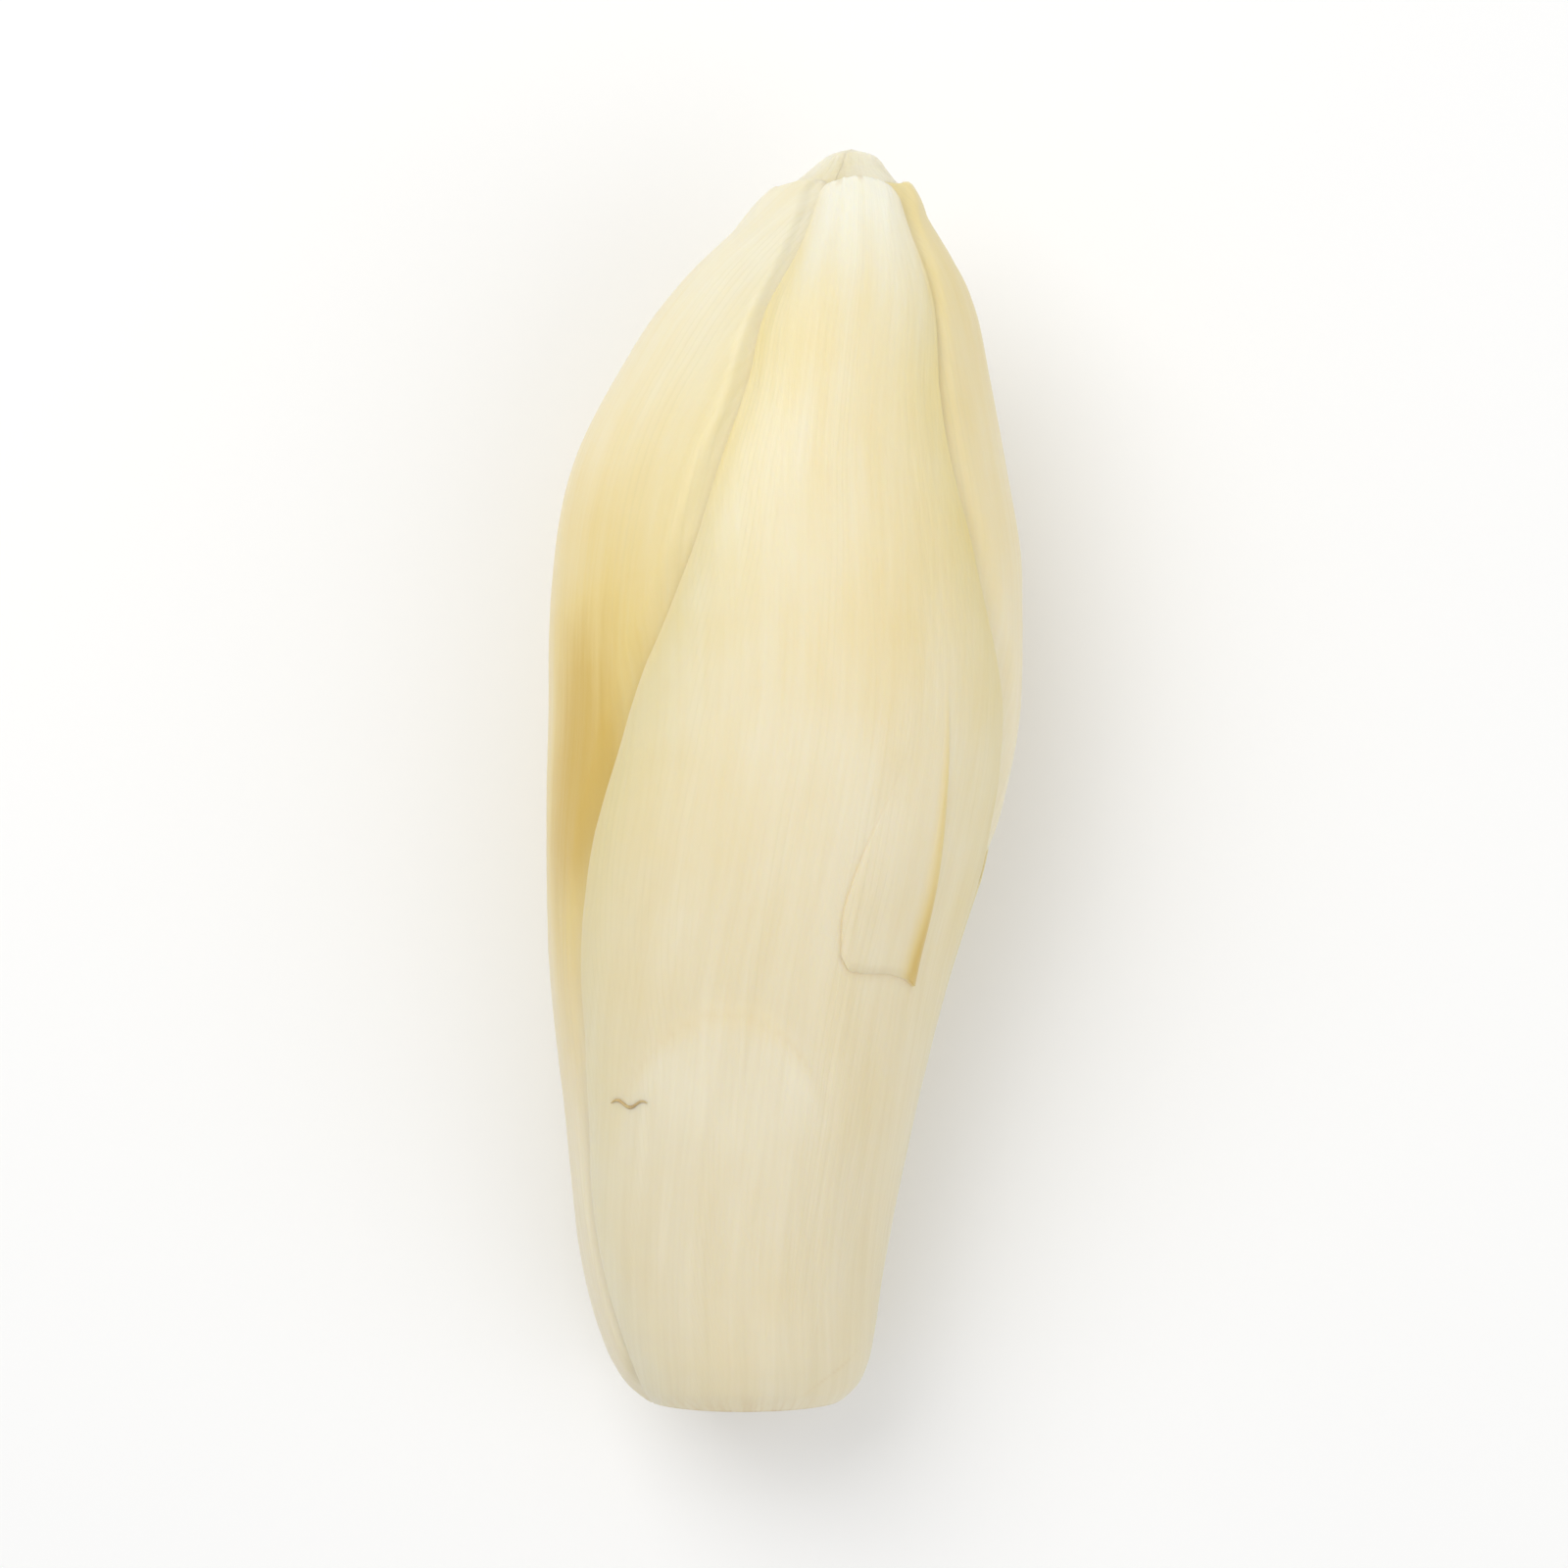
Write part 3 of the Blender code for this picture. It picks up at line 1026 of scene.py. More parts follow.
class Plate:
    """A flat square plate, to be shaped by a formula of where its vertices lie: across it from -1
    to 1, along it from 0 to 1, on its inner face or the other one, and on its rim or not."""

    def __init__(self, name: str, columns: int, rows: int) -> None:
        """Adds the plate.

        Args:
            name: the piece's name.
            columns: faces from side to side.
            rows: faces from end to end.
        """
        select_only()
        bpy.ops.mesh.primitive_grid_add(x_subdivisions=columns, y_subdivisions=rows, size=2.0)
        self.piece = bpy.context.active_object
        self.piece.name = self.piece.data.name = name
        thick = self.piece.modifiers.new("thickness", "SOLIDIFY")
        thick.thickness = 1.0
        thick.offset = -1.0
        bpy.ops.object.modifier_apply(modifier=thick.name)
        x, y, z = corners(self.piece)
        self.across, self.along = x, (y + 1) / 2
        self.inner = z < -0.5
        self.rim = np.maximum(abs(x), abs(y)) > 1 - 1e-6


class Ball:
    """A ball, to be shaped by a formula of where its vertices lie: their share of the way from its
    lower to its upper pole, and their angle round it."""

    def __init__(self, name: str, sides: int, rings: int) -> None:
        """Adds the ball.

        Args:
            name: the piece's name.
            sides: faces round it.
            rings: faces from pole to pole.
        """
        select_only()
        bpy.ops.mesh.primitive_uv_sphere_add(segments=sides, ring_count=rings, radius=1.0)
        self.piece = bpy.context.active_object
        self.piece.name = self.piece.data.name = name
        x, y, z = corners(self.piece)
        self.share = np.arccos(np.clip(-z, -1, 1)) / math.pi
        self.angle = np.arctan2(y, x)


def shape_piece(piece: bpy.types.Object, points: Array, marks: dict, sharp: float = 50.0) -> None:
    """Moves a piece's vertices, turns its faces outwards, stores its marks and smooths it.

    Args:
        piece: the piece.
        points: the new place of every vertex.
        marks: values of every vertex that the finish reads, by name.
        sharp: edges steeper than this, in degrees, stay sharp.
    """
    mesh = piece.data
    mesh.vertices.foreach_set("co", points.astype(np.float32).ravel())
    mesh.update()
    solid = bmesh.new()
    solid.from_mesh(mesh)
    inside_out = solid.calc_volume(signed=True) < 0
    solid.free()
    if inside_out:
        mesh.flip_normals()
    for name, values in marks.items():
        layer = mesh.attributes.new(name, "FLOAT", "POINT")
        layer.data.foreach_set("value", np.broadcast_to(values, len(points)).astype(np.float32))
    select_only(piece)
    bpy.ops.object.shade_smooth_by_angle(angle=math.radians(sharp))


# --- Sub-assemblies ---
@dataclass
class LeafBuilder:
    """Lays one leaf after the other under those that are laid down already. The room of a part that
    lies under later leaves is held back until these are laid."""

    head: HeadShape
    depths: DepthField
    reach: float = 0.0015
    edge_round: float = 0.3
    least: float = 0.00002
    held: list = field(default_factory=list)

    def build(self, leaf: Leaf) -> bpy.types.Object:
        """Builds one leaf's mesh and lays it down in the depth field.

        Args:
            leaf: the leaf's place and form.

        Returns:
            The finished mesh object.
        """
        top = self.depths.drape(self.reach)
        plate = Plate(leaf.piece, leaf.columns, leaf.rows)
        across, along = leaf.spread(self.head, plate.across, plate.along)
        base, tip = leaf.ends
        station = base + (tip - base) * along - leaf.shortfall(across, along)
        half = leaf.half_angle(self.head, station, along)
        angle = leaf.middle_angle(along) + across * half
        spots = Spots(across, along, station, angle)

        outer = leaf.closed(self.depths.free(top, station, angle), station)
        outer = outer - leaf.relief(spots) + leaf.margin(spots)
        thick = leaf.thickness(spots) * self.head.slant(station)
        outer = np.maximum(outer, thick + self.least)
        rounding = self.edge_round * np.minimum(thick, leaf.edge * 1.5)
        softened = np.where(plate.rim, rounding, 0.0) * leaf.softening(spots)
        outer_face = outer - leaf.grooves(spots) - softened + leaf.raised(spots)
        radius = np.where(plate.inner, outer - thick + softened, outer_face)
        marks = {
            "across": across * half * outer,
            "along": along * (tip - base) * self.head.length,
            "vein": leaf.vein(spots),
            "yellow": leaf.yellowness(spots),
            "brown": leaf.browning(spots),
            # painted shade, darker towards the head's base
            "painted_base_shade": leaf.painted_base_shade_share(spots),
        }
        station = station - np.where(plate.inner, leaf.inset(spots), 0.0)
        shape_piece(plate.piece, self.head.point(station, angle, radius), marks)
        self._lay(leaf, top)
        return plate.piece

    def _lay(self, leaf: Leaf, top: Array) -> None:
        """Marks the room of a leaf, and the gap under it, as taken.

        Args:
            leaf: the leaf.
            top: depth of the surface that it was draped on, all over the field.
        """
        station, angle = self.depths.station, self.depths.angle
        base, tip = leaf.ends
        along = (station - base) / (tip - base)
        inside = (along >= 0) & (along <= 1)
        along = np.clip(along, 0, 1)
        turned = (angle - leaf.middle_angle(along) + math.pi) % TURN - math.pi
        across = turned / leaf.half_angle(self.head, station, along)
        inside = inside & (abs(across) <= 1)
        spots = Spots(np.clip(across, -1, 1), along, station, angle)
        thick = leaf.thickness(spots) * self.head.slant(station)
        free = self.head.radius_at(station, angle) - top
        leaned = free - leaf.closed(free, station)
        floor = np.where(inside, top + leaned + leaf.relief(spots) + thick + leaf.gap, 0.0)
        late = leaf.tucked(self.head, spots)
        self.depths.lay(np.where(late, 0.0, floor))
        self.held.append(np.where(late, floor, 0.0))

    def release(self) -> None:
        """Marks the room of the leaves' tucked parts as taken, once their neighbours are laid."""
        for floor in self.held:
            self.depths.lay(floor)
        self.held.clear()


@dataclass
class SkinCurl:
    """A thin brown curl of skin low on the front leaf."""

    head: HeadShape
    station: float = 0.25
    low_degrees: float = 119.0
    high_degrees: float = 133.0
    half_width: float = 0.00022
    height: float = 0.0003
    border: float = 0.0001
    sunk: float = 0.0003
    depth: float = 0.0004
    waves: float = 1.4
    wave_start: float = 0.6
    wave_height: float = 0.0026

    def build(self) -> bpy.types.Object:
        """Builds the curl on the front leaf's surface.

        Returns:
            Its mesh object, to be joined into the leaf.
        """
        plate = Plate("curl", 4, 36)
        t = plate.along
        angle = np.radians(self.low_degrees + (self.high_degrees - self.low_degrees) * t)
        path = self.station + self.wave_height * np.sin(TURN * self.waves * t + self.wave_start)
        width = self.half_width * np.sqrt(np.clip(1 - (2 * t - 1) ** 2, 0.02, 1))
        station = path + plate.across * width / self.head.length
        surface = self.head.radius_at(station, angle) - self.sunk
        raised = self.height * (1 - 0.6 * plate.across**2) + self.border
        radius = np.where(plate.inner, surface - self.depth, surface + raised)
        marks = {"across": 0.0, "along": 0.0, "vein": 0.0, "yellow": 0.6, "brown": 0.55}
        shape_piece(plate.piece, self.head.point(station, angle, radius), marks)
        return plate.piece


@dataclass
class Heart:
    """The bud of tiny leaves in the middle of the head."""

    head: HeadShape
    depths: DepthField
    start: float = 0.345
    end: float = 0.80
    radius: float = 0.0085
    rings: int = 90
    sides: int = 72
    ridges: int = 3
    ridge_height: float = 0.12
    climb: float = 4.0
    reach: float = 0.003

    def build(self) -> bpy.types.Object:
        """Builds the bud, with ridges of leaf edges that climb round it.

        Returns:
            Its mesh object.
        """
        ball = Ball("heart_bud", self.sides, self.rings)
        share, angle = ball.share, ball.angle
        station = self.start + (self.end - self.start) * share
        free = self.depths.free(self.depths.drape(self.reach), station, angle)
        bud = self.radius * np.sin(math.pi * np.clip(share, 0, 1) ** 1.4) ** 0.7
        ridge = (angle / TURN * self.ridges + station * self.climb) % 1.0
        radius = np.minimum(free, bud * (1 - self.ridge_height + self.ridge_height * ridge))
        at_pole = (share < TINY) | (share > 1 - TINY)
        radius = np.where(at_pole, 0.0, np.maximum(radius, 0.0))
        marks = {
            "across": ridge * self.radius,
            "along": station * self.head.length,
            "vein": ridge * 2,
            "yellow": np.clip(0.35 + 0.4 * share, 0, 1),
            "brown": 0.0,
        }
        shape_piece(ball.piece, self.head.point(station, angle, radius), marks)
        return ball.piece


@dataclass
class Stem:
    """The conical core that the leaves grow on. Its lower end is the cut face."""

    head: HeadShape
    depths: DepthField
    cone: Curve = Curve(
        (0.00, 0.05, 0.11, 0.17, 0.23, 0.28, 0.31, 0.325),
        (0.0076, 0.0077, 0.0067, 0.0054, 0.0038, 0.0026, 0.0016, 0.0007),
    )
    swelling: float = 1.5
    rings: int = 120
    sides: int = 96
    face_share: float = 0.3
    sunk: float = 0.0002
    ring_place: float = 0.62
    ring_width: float = 0.10
    ring_height: float = 0.00030
    dish: float = 0.0005
    roughness: float = 0.00012
    grain: float = 400.0
    sharp: float = 60.0

    def build(self) -> bpy.types.Object:
        """Builds the core from its cut face, which is a low dish with a ring, to its point.

        Returns:
            Its mesh object.
        """
        ball = Ball("core", self.sides, self.rings)
        share, angle = ball.share, ball.angle
        on_face = share < self.face_share
        out = np.clip(share / self.face_share, 0, 1)
        up = np.clip((share - self.face_share) / (1 - self.face_share), 0, 1)
        station = self.cone.places[-1] * up
        free = self.depths.free(self.depths.taken, station, angle) + self.sunk
        cone = self.cone.at(station)
        radius = np.clip(free, cone, self.swelling * cone)
        radius = np.where(on_face, radius * out, radius)
        radius = np.where(share > 1 - TINY, 0.0, radius)
        x, y = radius * np.cos(angle), radius * np.sin(angle)
        noise = Noise(7)
        ring = self.ring_height * bell((out - self.ring_place) / self.ring_width)
        ring = ring * (0.6 + 0.4 * noise.at(angle * 2, 3.0))
        uneven = noise.share(x * self.grain, y * self.grain)
        dish = self.dish * (1 - out**2) + self.roughness * uneven
        sunk = np.where(on_face, np.clip(dish - ring, 0, 1) * rise(1 - out, 0, 0.08), 0.0)
        station = station + sunk / self.head.length
        browned = 0.30 + 0.22 * bell((out - self.ring_place) / 0.12) - 0.1 * bell(out / 0.4)
        marks = {
            "across": x,
            "along": station * self.head.length + y,
            "vein": radius * 15,
            "yellow": 0.05,
            "brown": np.where(on_face, browned, 0.0),
        }
        shape_piece(ball.piece, self.head.point(station, angle, radius), marks, self.sharp)
        return ball.piece


# --- Finishes ---
def rgb(red: int, green: int, blue: int) -> tuple:
    """A colour's linear values from its usual 0 to 255 ones.

    Args:
        red: its red share.
        green: its green share.
        blue: its blue share.

    Returns:
        The three linear values, and 1 for an opaque colour.
    """
    share = [value / 255 for value in (red, green, blue)]
    linear = [s / 12.92 if s <= 0.04045 else ((s + 0.055) / 1.055) ** 2.4 for s in share]
    return (*linear, 1.0)


class Wiring:
    """Adds nodes to a node tree and wires them, in short calls."""

    def __init__(self, tree: bpy.types.NodeTree) -> None:
        """Keeps the tree that nodes are added to."""
        self.tree = tree

    def feed(self, node: bpy.types.Node, **inputs: object) -> None:
        """Sets or wires some of a node's inputs.

        Args:
            node: the node.
            inputs: values or sockets for its inputs; a name such as Base_Color stands for
                "Base Color", and i0, i1 and so on stand for inputs by number.
        """
        for name, value in inputs.items():
            by_number = name[0] == "i" and name[1:].isdigit()
            socket = node.inputs[int(name[1:]) if by_number else name.replace("_", " ")]
            if isinstance(value, Socket):
                self.tree.links.new(value, socket)
            else:
                socket.default_value = value

    def node(self, kind: str, settings: Optional[dict] = None, **inputs: object) -> bpy.types.Node:
        """Adds a node.

        Args:
            kind: its type, without the leading ShaderNode.
            settings: its own settings by name.
            inputs: values or sockets for its inputs, as feed takes them.

        Returns:
            The node.
        """
        made = self.tree.nodes.new("ShaderNode" + kind)
        for name, value in (settings or {}).items():
            setattr(made, name, value)
        self.feed(made, **inputs)
        return made

    def maths(self, operation: str, *values: object, clamp: bool = False) -> Socket:
        """Adds a Math node.

        Args:
            operation: what it does.
            values: values or sockets for its inputs.
            clamp: whether its result is kept between 0 and 1.

        Returns:
            Its result.
        """
        inputs = {f"i{n}": value for n, value in enumerate(values)}
        settings = {"operation": operation, "use_clamp": clamp}
        return self.node("Math", settings, **inputs).outputs[0]

    def scaled(self, value: object, factor: object, plus: object) -> Socket:
        """A value times a factor, plus a further value."""
        return self.maths("MULTIPLY_ADD", value, factor, plus)

    def product(self, first: object, second: object, clamp: bool = False) -> Socket:
        """One value times another."""
        return self.maths("MULTIPLY", first, second, clamp=clamp)

    def noise(self, place: Socket, scale: object, detail: float, roughness: float = 0.5) -> Socket:
        """Adds a noise texture and returns its height."""
        inputs = {"Vector": place, "Scale": scale, "Detail": detail, "Roughness": roughness}
        return self.node("TexNoise", **inputs).outputs[0]

    def stretched(self, place: Socket, scale: tuple) -> Socket:
        """Scales a place by a factor for each axis."""
        return self.node("Mapping", Vector=place, Scale=scale).outputs[0]

    def blend(self, factor: object, first: object, second: object) -> Socket:
        """Blends two colours."""
        made = self.node("Mix", {"data_type": "RGBA"}, i0=factor, i6=first, i7=second)
        return made.outputs[2]

    def ramp(self, factor: Socket, stops: tuple) -> Socket:
        """Adds a colour ramp.

        Args:
            factor: what it reads.
            stops: pairs of a place and a colour.

        Returns:
            The ramp's colour.
        """
        made = self.node("ValToRGB", i0=factor)
        elements = made.color_ramp.elements
        while len(elements) < len(stops):
            elements.new(0.5)
        for element, (place, colour) in zip(elements, stops):
            element.position = place
            element.color = colour
        return made.outputs[0]

    def mark(self, name: str) -> Socket:
        """Reads one of the values that a piece's mesh stores, by its name."""
        return self.node("Attribute", {"attribute_name": name}).outputs["Fac"]

    def where(self) -> Socket:
        """Reads the place in the piece's own coordinates."""
        return self.node("TexCoord").outputs["Object"]


def start_group(name: str, inputs: dict, outputs: dict) -> tuple:
    """Starts a shader node group.

    Args:
        name: the group's name.
        inputs: names and socket kinds of its inputs, such as Float.
        outputs: the same for its outputs.

    Returns:
        The group's wiring, its inputs and its output node.
    """
    tree = bpy.data.node_groups.new(name, "ShaderNodeTree")
    for in_out, sockets in (("INPUT", inputs), ("OUTPUT", outputs)):
        for socket, kind in sockets.items():
            tree.interface.new_socket(socket, in_out=in_out, socket_type="NodeSocket" + kind)
    given = tree.nodes.new("NodeGroupInput").outputs
    return Wiring(tree), given[: len(inputs)], tree.nodes.new("NodeGroupOutput")


def start_material(name: str) -> tuple:
    """Starts a material.

    Args:
        name: the material's name.

    Returns:
        The material, its wiring and its shader.
    """
    made = bpy.data.materials.new(name)
    made.use_nodes = True
    return made, Wiring(made.node_tree), made.node_tree.nodes["Principled BSDF"]


class FleshGrain:
    """Fine lengthwise fibres, veins and a cell-like grain, as on all of the head's flesh."""

    fibre_cells: tuple = (1500.0, 70.0, 1.0)
    band_cells: tuple = (420.0, 26.0, 1.0)
    small_cells: tuple = (1600.0, 900.0, 1.0)
    veins: float = 23.0

    def __init__(self) -> None:
        """Builds the node group once."""
        inputs = {"Across": "Float", "Along": "Float", "Vein": "Float"}
        outputs = {"Streaks": "Float", "Veins": "Float", "Height": "Float"}
        wire, (across, along, vein), made = start_group("flesh_grain", inputs, outputs)
        self.tree = wire.tree
        place = wire.node("CombineXYZ", X=across, Y=along, Z=0.0).outputs[0]
        fibres = wire.noise(wire.stretched(place, self.fibre_cells), 1.0, 3.0)
        broad = wire.stretched(place, self.band_cells)
        bands = wire.noise(broad, 1.0, 2.0)
        bent = wire.scaled(bands, 0.9, wire.product(vein, TURN * self.veins))
        wave = wire.scaled(wire.maths("SINE", bent), 0.5, 0.5)
        uneven = wire.noise(broad, 0.45, 1.0)
        strength = wire.node("MapRange", Value=uneven, From_Min=0.45, From_Max=0.65).outputs[0]
        veins = wire.product(wire.maths("POWER", wave, 6.0), strength)
        small = wire.stretched(place, self.small_cells)
        cells = wire.node("TexVoronoi", Vector=small, Scale=1.0).outputs[0]
        height = wire.scaled(fibres, 0.7, wire.product(cells, 0.22))
        height = wire.scaled(veins, 0.15, height)
        streaks = wire.scaled(fibres, 0.45, wire.product(bands, 0.55))
        wire.feed(made, Streaks=streaks, Veins=veins, Height=height)


class Browned:
    """Browning of cut and bruised flesh, speckled at its border."""

    stops: tuple = ((0.0, rgb(220, 200, 156)), (0.4, rgb(190, 154, 106)), (1.0, rgb(120, 82, 50)))

    def __init__(self) -> None:
        """Builds the node group once."""
        inputs = {"Color": "Color", "Brown": "Float", "Scale": "Float"}
        outputs = {"Color": "Color", "Mask": "Float"}
        wire, (colour, brown, scale), made = start_group("browned", inputs, outputs)
        self.tree = wire.tree
        speckle = wire.noise(wire.where(), scale, 4.0, 0.7)
        mask = wire.product(brown, wire.scaled(speckle, 1.1, 0.10), clamp=True)
        grown = wire.product(mask, 2.2, clamp=True)
        wire.feed(made, Color=wire.blend(grown, colour, wire.ramp(mask, self.stops)), Mask=mask)


@dataclass(frozen=True)
class FleshFinish:
    """Moist, slightly glossy and translucent leaf flesh, from white to yellow."""

    name: str
    stops: tuple = (
        (0.0, rgb(247, 241, 218)),
        (0.18, rgb(239, 228, 197)),
        (0.34, rgb(236, 219, 172)),
        (0.58, rgb(230, 206, 134)),
        (0.80, rgb(214, 181, 88)),
        (1.0, rgb(208, 172, 62)),
    )
    streak_share: float = 0.20
    cloud_share: float = 0.16
    cloud_scale: float = 85.0
    whitening: float = 0.18
    vein_tint: tuple = rgb(214, 203, 158)
    vein_strength: float = 0.16
    # The darker grey-beige of the painted shade towards the head's base.
    painted_base_shade: tuple = rgb(203, 193, 166)
    speckle: float = 900.0
    roughness: float = 0.38
    specular: float = 0.45
    depth: float = 0.0022
    translucency: float = 0.35
    colour_depths: tuple = (1.0, 0.82, 0.42)
    bump: float = 0.00006

    def material(self, grain: FleshGrain, browned: Browned) -> bpy.types.Material:
        """Builds the material.

        Args:
            grain: the shared grain of flesh.
            browned: the shared browning.

        Returns:
            The material.
        """
        made, wire, shader = start_material(self.name)
        places = {name.capitalize(): wire.mark(name) for name in ("across", "along", "vein")}
        streaks, veins, height = wire.node("Group", {"node_tree": grain.tree}, **places).outputs[:3]
        tint = wire.scaled(streaks, self.streak_share, wire.mark("yellow"))
        clouds = wire.noise(wire.where(), self.cloud_scale, 3.0)
        tint = wire.scaled(clouds, self.cloud_share, tint)
        flesh = wire.ramp(wire.maths("SUBTRACT", tint, self.whitening), self.stops)
        # Painted shade: the flesh is streakily blended towards a darker grey-beige towards the head's
        # base.
        painted_shade_mix = wire.product(wire.mark("painted_base_shade"), wire.scaled(streaks, 1.2, 0.4))
        flesh = wire.blend(painted_shade_mix, flesh, self.painted_base_shade)
        veined = wire.blend(wire.product(veins, self.vein_strength), flesh, self.vein_tint)
        inputs = {"Color": veined, "Brown": wire.mark("brown"), "Scale": self.speckle}
        aged = wire.node("Group", {"node_tree": browned.tree}, **inputs)
        rough = wire.scaled(streaks, 0.16, self.roughness - 0.08)
        bump = wire.node("Bump", Strength=1.0, Distance=self.bump, Height=height)
        wire.feed(
            shader,
            Base_Color=aged.outputs[0],
            Roughness=wire.scaled(aged.outputs[1], 0.3, rough),
            Normal=bump.outputs[0],
            Subsurface_Weight=self.translucency,
            Subsurface_Radius=self.colour_depths,
            Subsurface_Scale=self.depth,
            Specular_IOR_Level=self.specular,
        )
        return made


@dataclass(frozen=True)
class FloorFinish:
    """A smooth, almost white sheet, faintly uneven."""

    stops: tuple = ((0.0, (0.91, 0.91, 0.905, 1.0)), (1.0, (0.94, 0.94, 0.935, 1.0)))
    roughness: float = 0.7

    def material(self) -> bpy.types.Material:
        """Builds the material.

        Returns:
            The material.
        """
        made, wire, shader = start_material("pale_floor")
        colour = wire.ramp(wire.noise(wire.where(), 6.0, 2.0), self.stops)
        wire.feed(shader, Base_Color=colour, Roughness=self.roughness)
        return made


# --- The studio ---
@dataclass(frozen=True)
class Lamp:
    """A soft square light that faces the head."""

    name: str
    place: tuple
    size: float
    watts: float

    def build(self, middle: Vector) -> None:
        """Adds the light.

        Args:
            middle: the point that it faces.
        """
        bpy.ops.object.light_add(type="AREA", location=self.place)
        lamp = bpy.context.active_object
        lamp.name = self.name
        lamp.data.size = self.size
        lamp.data.energy = self.watts
        lamp.rotation_euler = (middle - Vector(self.place)).to_track_quat("-Z", "Y").to_euler()


@dataclass
class Studio:
    """A plain pale floor, soft lights and a camera that looks straight down on the head."""

    middle: Vector
    length: float
    floor_size: float = 6.0
    floor_height: float = -0.0002
    lamps: tuple = (
        Lamp("key", (-0.30, 0.42, 0.73), 0.60, 3.3),
        Lamp("fill", (0.50, -0.25, 0.65), 0.80, 1.4),
    )
    sky: float = 0.66
    frame_fill: float = 0.80
    lens: float = 100.0
    sensor: float = 36.0

    def build(self) -> None:
        """Builds the floor, the lights, the sky and the camera."""
        select_only()
        bpy.ops.mesh.primitive_plane_add(size=self.floor_size, location=(0, 0, self.floor_height))
        floor = bpy.context.active_object
        floor.name = "floor"
        floor.data.materials.append(FloorFinish().material())
        for lamp in self.lamps:
            lamp.build(self.middle)
        sky = bpy.data.worlds.new("sky")
        sky.use_nodes = True
        background = sky.node_tree.nodes["Background"]
        Wiring(sky.node_tree).feed(background, Color=(1.0, 1.0, 1.0, 1.0), Strength=self.sky)
        bpy.context.scene.world = sky
        bpy.context.scene.view_settings.view_transform = "Standard"
        distance = self.length / self.frame_fill * self.lens / self.sensor
        bpy.ops.object.camera_add(location=self.middle + Vector((0, 0, distance)))
        camera = bpy.context.active_object
        camera.rotation_euler = (0.0, 0.0, 0.0)
        camera.data.lens = self.lens
        camera.data.sensor_width = self.sensor
        bpy.context.scene.camera = camera


# --- The head ---
OUTER_GRID = {"rows": 200, "columns": 150}


def outer_leaves() -> tuple:
    """Sets up the leaves that show all round the head.

    Returns:
        The four leaves, outermost first.
    """
    front = FrontLeaf(
        "leaf_01",
        "front_leaf",
        Slot.OUTER_LEAF,
        angle=75.0,
        half_width=0.0330,
        rib=0.0036,
        widths=SLENDER,
        **OUTER_GRID,
        phase=0.4,
        seed=11,
        tip_drop=0.018,
        yellow_base=0.22,
        yellow_tip=0.0,
        yellow_margin=0.22,
        yellow=(
            Patch(0.66, 60.0, 0.12, 22.0, 0.14),
            Patch(0.83, 75.0, 0.07, 40.0, 0.08),
            Patch(0.98, 80.0, 0.07, 90.0, -0.26),
        ),
        brown=(Patch(0.0, 92.0, 0.012, 60.0, 0.22),),
    )
    back = CappedLeaf(
        "leaf_02",
        "back_leaf",
        Slot.OUTER_LEAF,
        angle=281.0,
        half_width=0.0385,
        rib=0.0034,
        widths=BROAD_BASED,
        **OUTER_GRID,
        swing=-4.0,
        phase=2.1,
        seed=12,
        end_packing=0.75,
        tip_drop=0.0,
        raggedness=0.0,
        yellow_base=0.2,
        yellow_tip=0.02,
        yellow_margin=0.25,
        yellow=(Patch(1.0, 101.0, 0.04, 110.0, -0.22),),
        brown_tip=0.0,
    )
    left = Leaf(
        "leaf_03",
        "left_leaf",
        Slot.OUTER_LEAF,
        angle=165.0,
        half_width=0.0415,
        rib=0.0036,
        **OUTER_GRID,
        swing=6.0,
        phase=3.3,
        seed=13,
        starts_at_cut=True,
        tip_drop=0.02,
        tip_reach=0.018,
        flares=(Tooth(0.05, 0.20, 0.0011),),
        teeth=(Tooth(-0.36, 0.58, 0.018), Tooth(0.20, 0.20, -0.006), Tooth(0.05, 0.06, 0.006)),
        yellow_base=0.16,
        yellow_tip=0.0,
        yellow_margin=0.30,
        yellow=(
            # The strong patch below is partly the leaf's own deep yellow and partly painted shade: it
            # is painted darker there, as if shaded from beside.
            Patch(0.50, 145.0, 0.12, 24.0, 0.64),
            Patch(0.67, 145.0, 0.16, 38.0, 0.30),
            Patch(0.40, 156.0, 0.14, 14.0, 0.24),
        ),
        brown=(Patch(0.34, 156.0, 0.10, 8.0, 0.14),),
    )
    right = Leaf(
        "leaf_04",
        "right_leaf",
        Slot.OUTER_LEAF,
        angle=14.0,
        half_width=0.0400,
        rib=0.0036,
        **OUTER_GRID,
        swing=6.0,
        phase=5.2,
        seed=14,
        starts_at_cut=True,
        tip_drop=0.02,
        tip_reach=0.008,
        flares=(Tooth(0.02, 0.18, 0.0010),),
        teeth=(Tooth(0.35, 0.50, 0.006), Tooth(0.02, 0.06, 0.003), Tooth(-0.18, 0.05, 0.003)),
        yellow_base=0.13,
        yellow_tip=0.27,
        yellow_margin=0.18,
    )
    return front, back, left, right


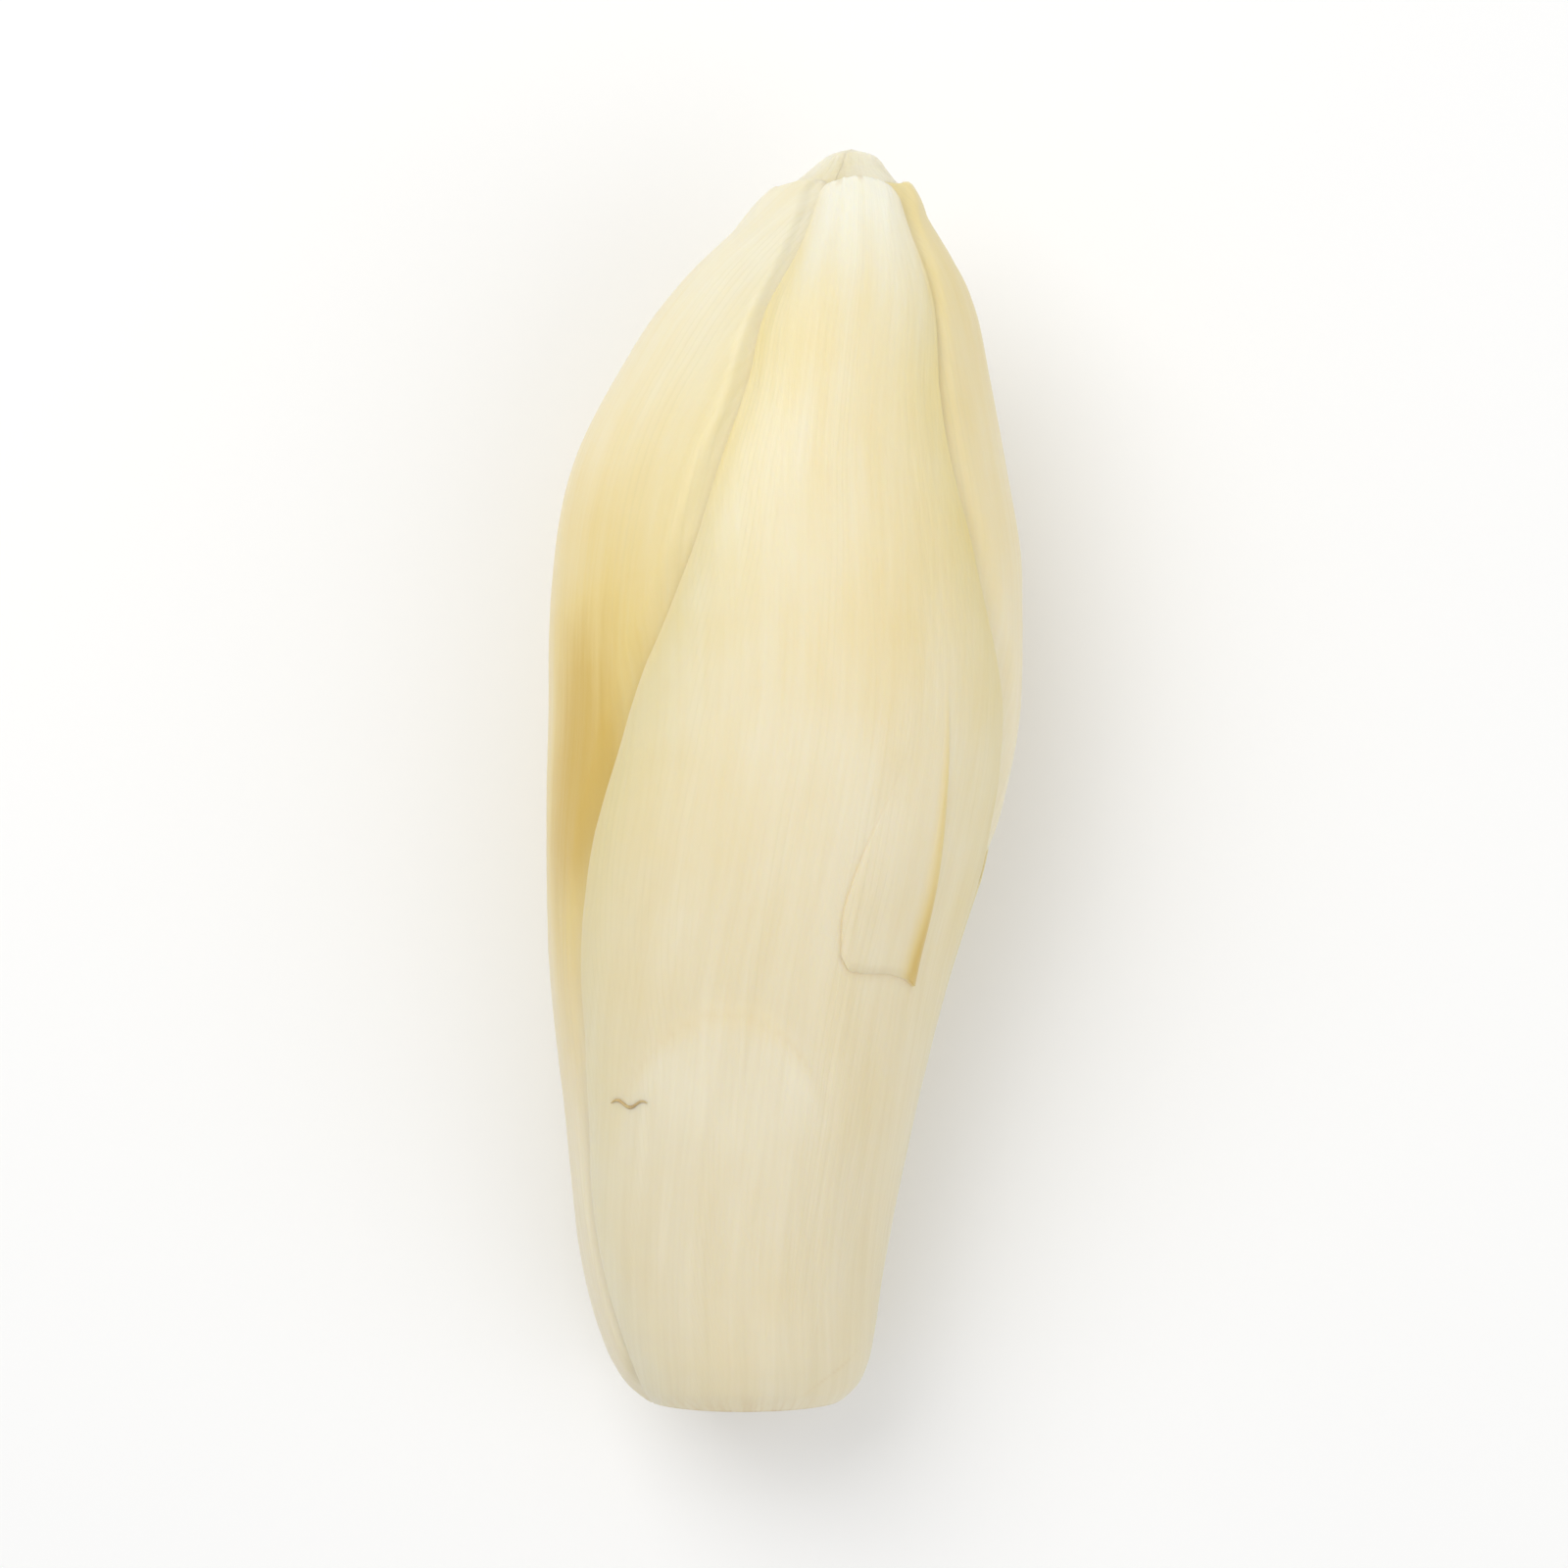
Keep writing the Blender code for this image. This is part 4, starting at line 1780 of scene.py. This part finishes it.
@dataclass(frozen=True)
class InnerLeaves:
    """The leaves that wrap the heart, each a golden angle from the one before it."""

    count: int = 12
    first_number: int = 5
    first_angle: float = 245.0
    golden_angle: float = 137.5
    half_width: float = 0.0375
    narrower: float = 0.0006
    rib: float = 0.0034
    thinner: float = 0.0001
    leaning_from: int = 3
    lean: float = 0.1

    def leaf(self, k: int) -> Leaf:
        """One of the leaves.

        Args:
            k: its place among them, 0 for the outermost.

        Returns:
            The leaf.
        """
        number = self.first_number + k
        return Leaf(
            f"leaf_{number:02d}",
            f"inner_leaf_{number:02d}",
            Slot.INNER_LEAF,
            angle=(self.first_angle - self.golden_angle * k) % 360.0,
            half_width=self.half_width - self.narrower * k,
            rib=self.rib - self.thinner * k,
            swing=10.0,
            phase=1.7 * number,
            seed=20 + number,
            lean=self.lean if k >= self.leaning_from else 0.0,
            yellow_base=0.15,
            yellow_tip=0.2,
        )


@dataclass
class EndiveHead:
    """The whole head, built from the outside in."""

    shape: HeadShape
    finishes: dict = field(default_factory=dict)

    def dress(self) -> None:
        """Makes the finishes of all the slots."""
        shared = FleshGrain(), Browned()
        self.finishes = {
            Slot.OUTER_LEAF: FleshFinish("outer_leaf_flesh").material(*shared),
            Slot.INNER_LEAF: FleshFinish("inner_leaf_flesh", roughness=0.36).material(*shared),
            Slot.HEART: FleshFinish("heart_flesh", roughness=0.42).material(*shared),
            Slot.STEM: FleshFinish("stem_flesh", roughness=0.5, bump=0.00012).material(*shared),
        }

    def build(self) -> None:
        """Builds every piece and fits it in the place of its CAD node."""
        depths = DepthField(self.shape)
        builder = LeafBuilder(self.shape, depths)
        for leaf in outer_leaves():
            piece = builder.build(leaf)
            if isinstance(leaf, FrontLeaf):
                select_only(piece, SkinCurl(self.shape).build())
                bpy.ops.object.join()
            self._fit(piece, leaf.node, leaf.slot)
        builder.release()
        inner = InnerLeaves()
        for leaf in map(inner.leaf, range(inner.count)):
            self._fit(builder.build(leaf), leaf.node, leaf.slot)
        self._fit(Heart(self.shape, depths).build(), "heart", Slot.HEART)
        self._fit(Stem(self.shape, depths).build(), "stem", Slot.STEM)

    def _fit(self, piece: bpy.types.Object, node: str, slot: Slot) -> None:
        """Gives a piece its finish and lets it stand for a CAD node.

        Args:
            piece: the finished piece.
            node: the CAD node that it replaces.
            slot: the record's slot of its finish.
        """
        piece.data.materials.clear()
        piece.data.materials.append(self.finishes[slot])
        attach(piece, BODY)
        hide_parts(node)
        log.info("%s replaces %s with %d faces", piece.name, node, len(piece.data.polygons))


def main() -> None:
    """Builds the head and the studio round it."""
    logging.basicConfig(level=logging.INFO, format="%(message)s")
    low, high = Vector(CAD_BOX[0]), Vector(CAD_BOX[1])
    head = EndiveHead(HeadShape(length=high.y - low.y))
    head.dress()
    head.build()
    Studio(middle=(low + high) / 2, length=high.y - low.y).build()


if __name__ == "__main__":
    main()
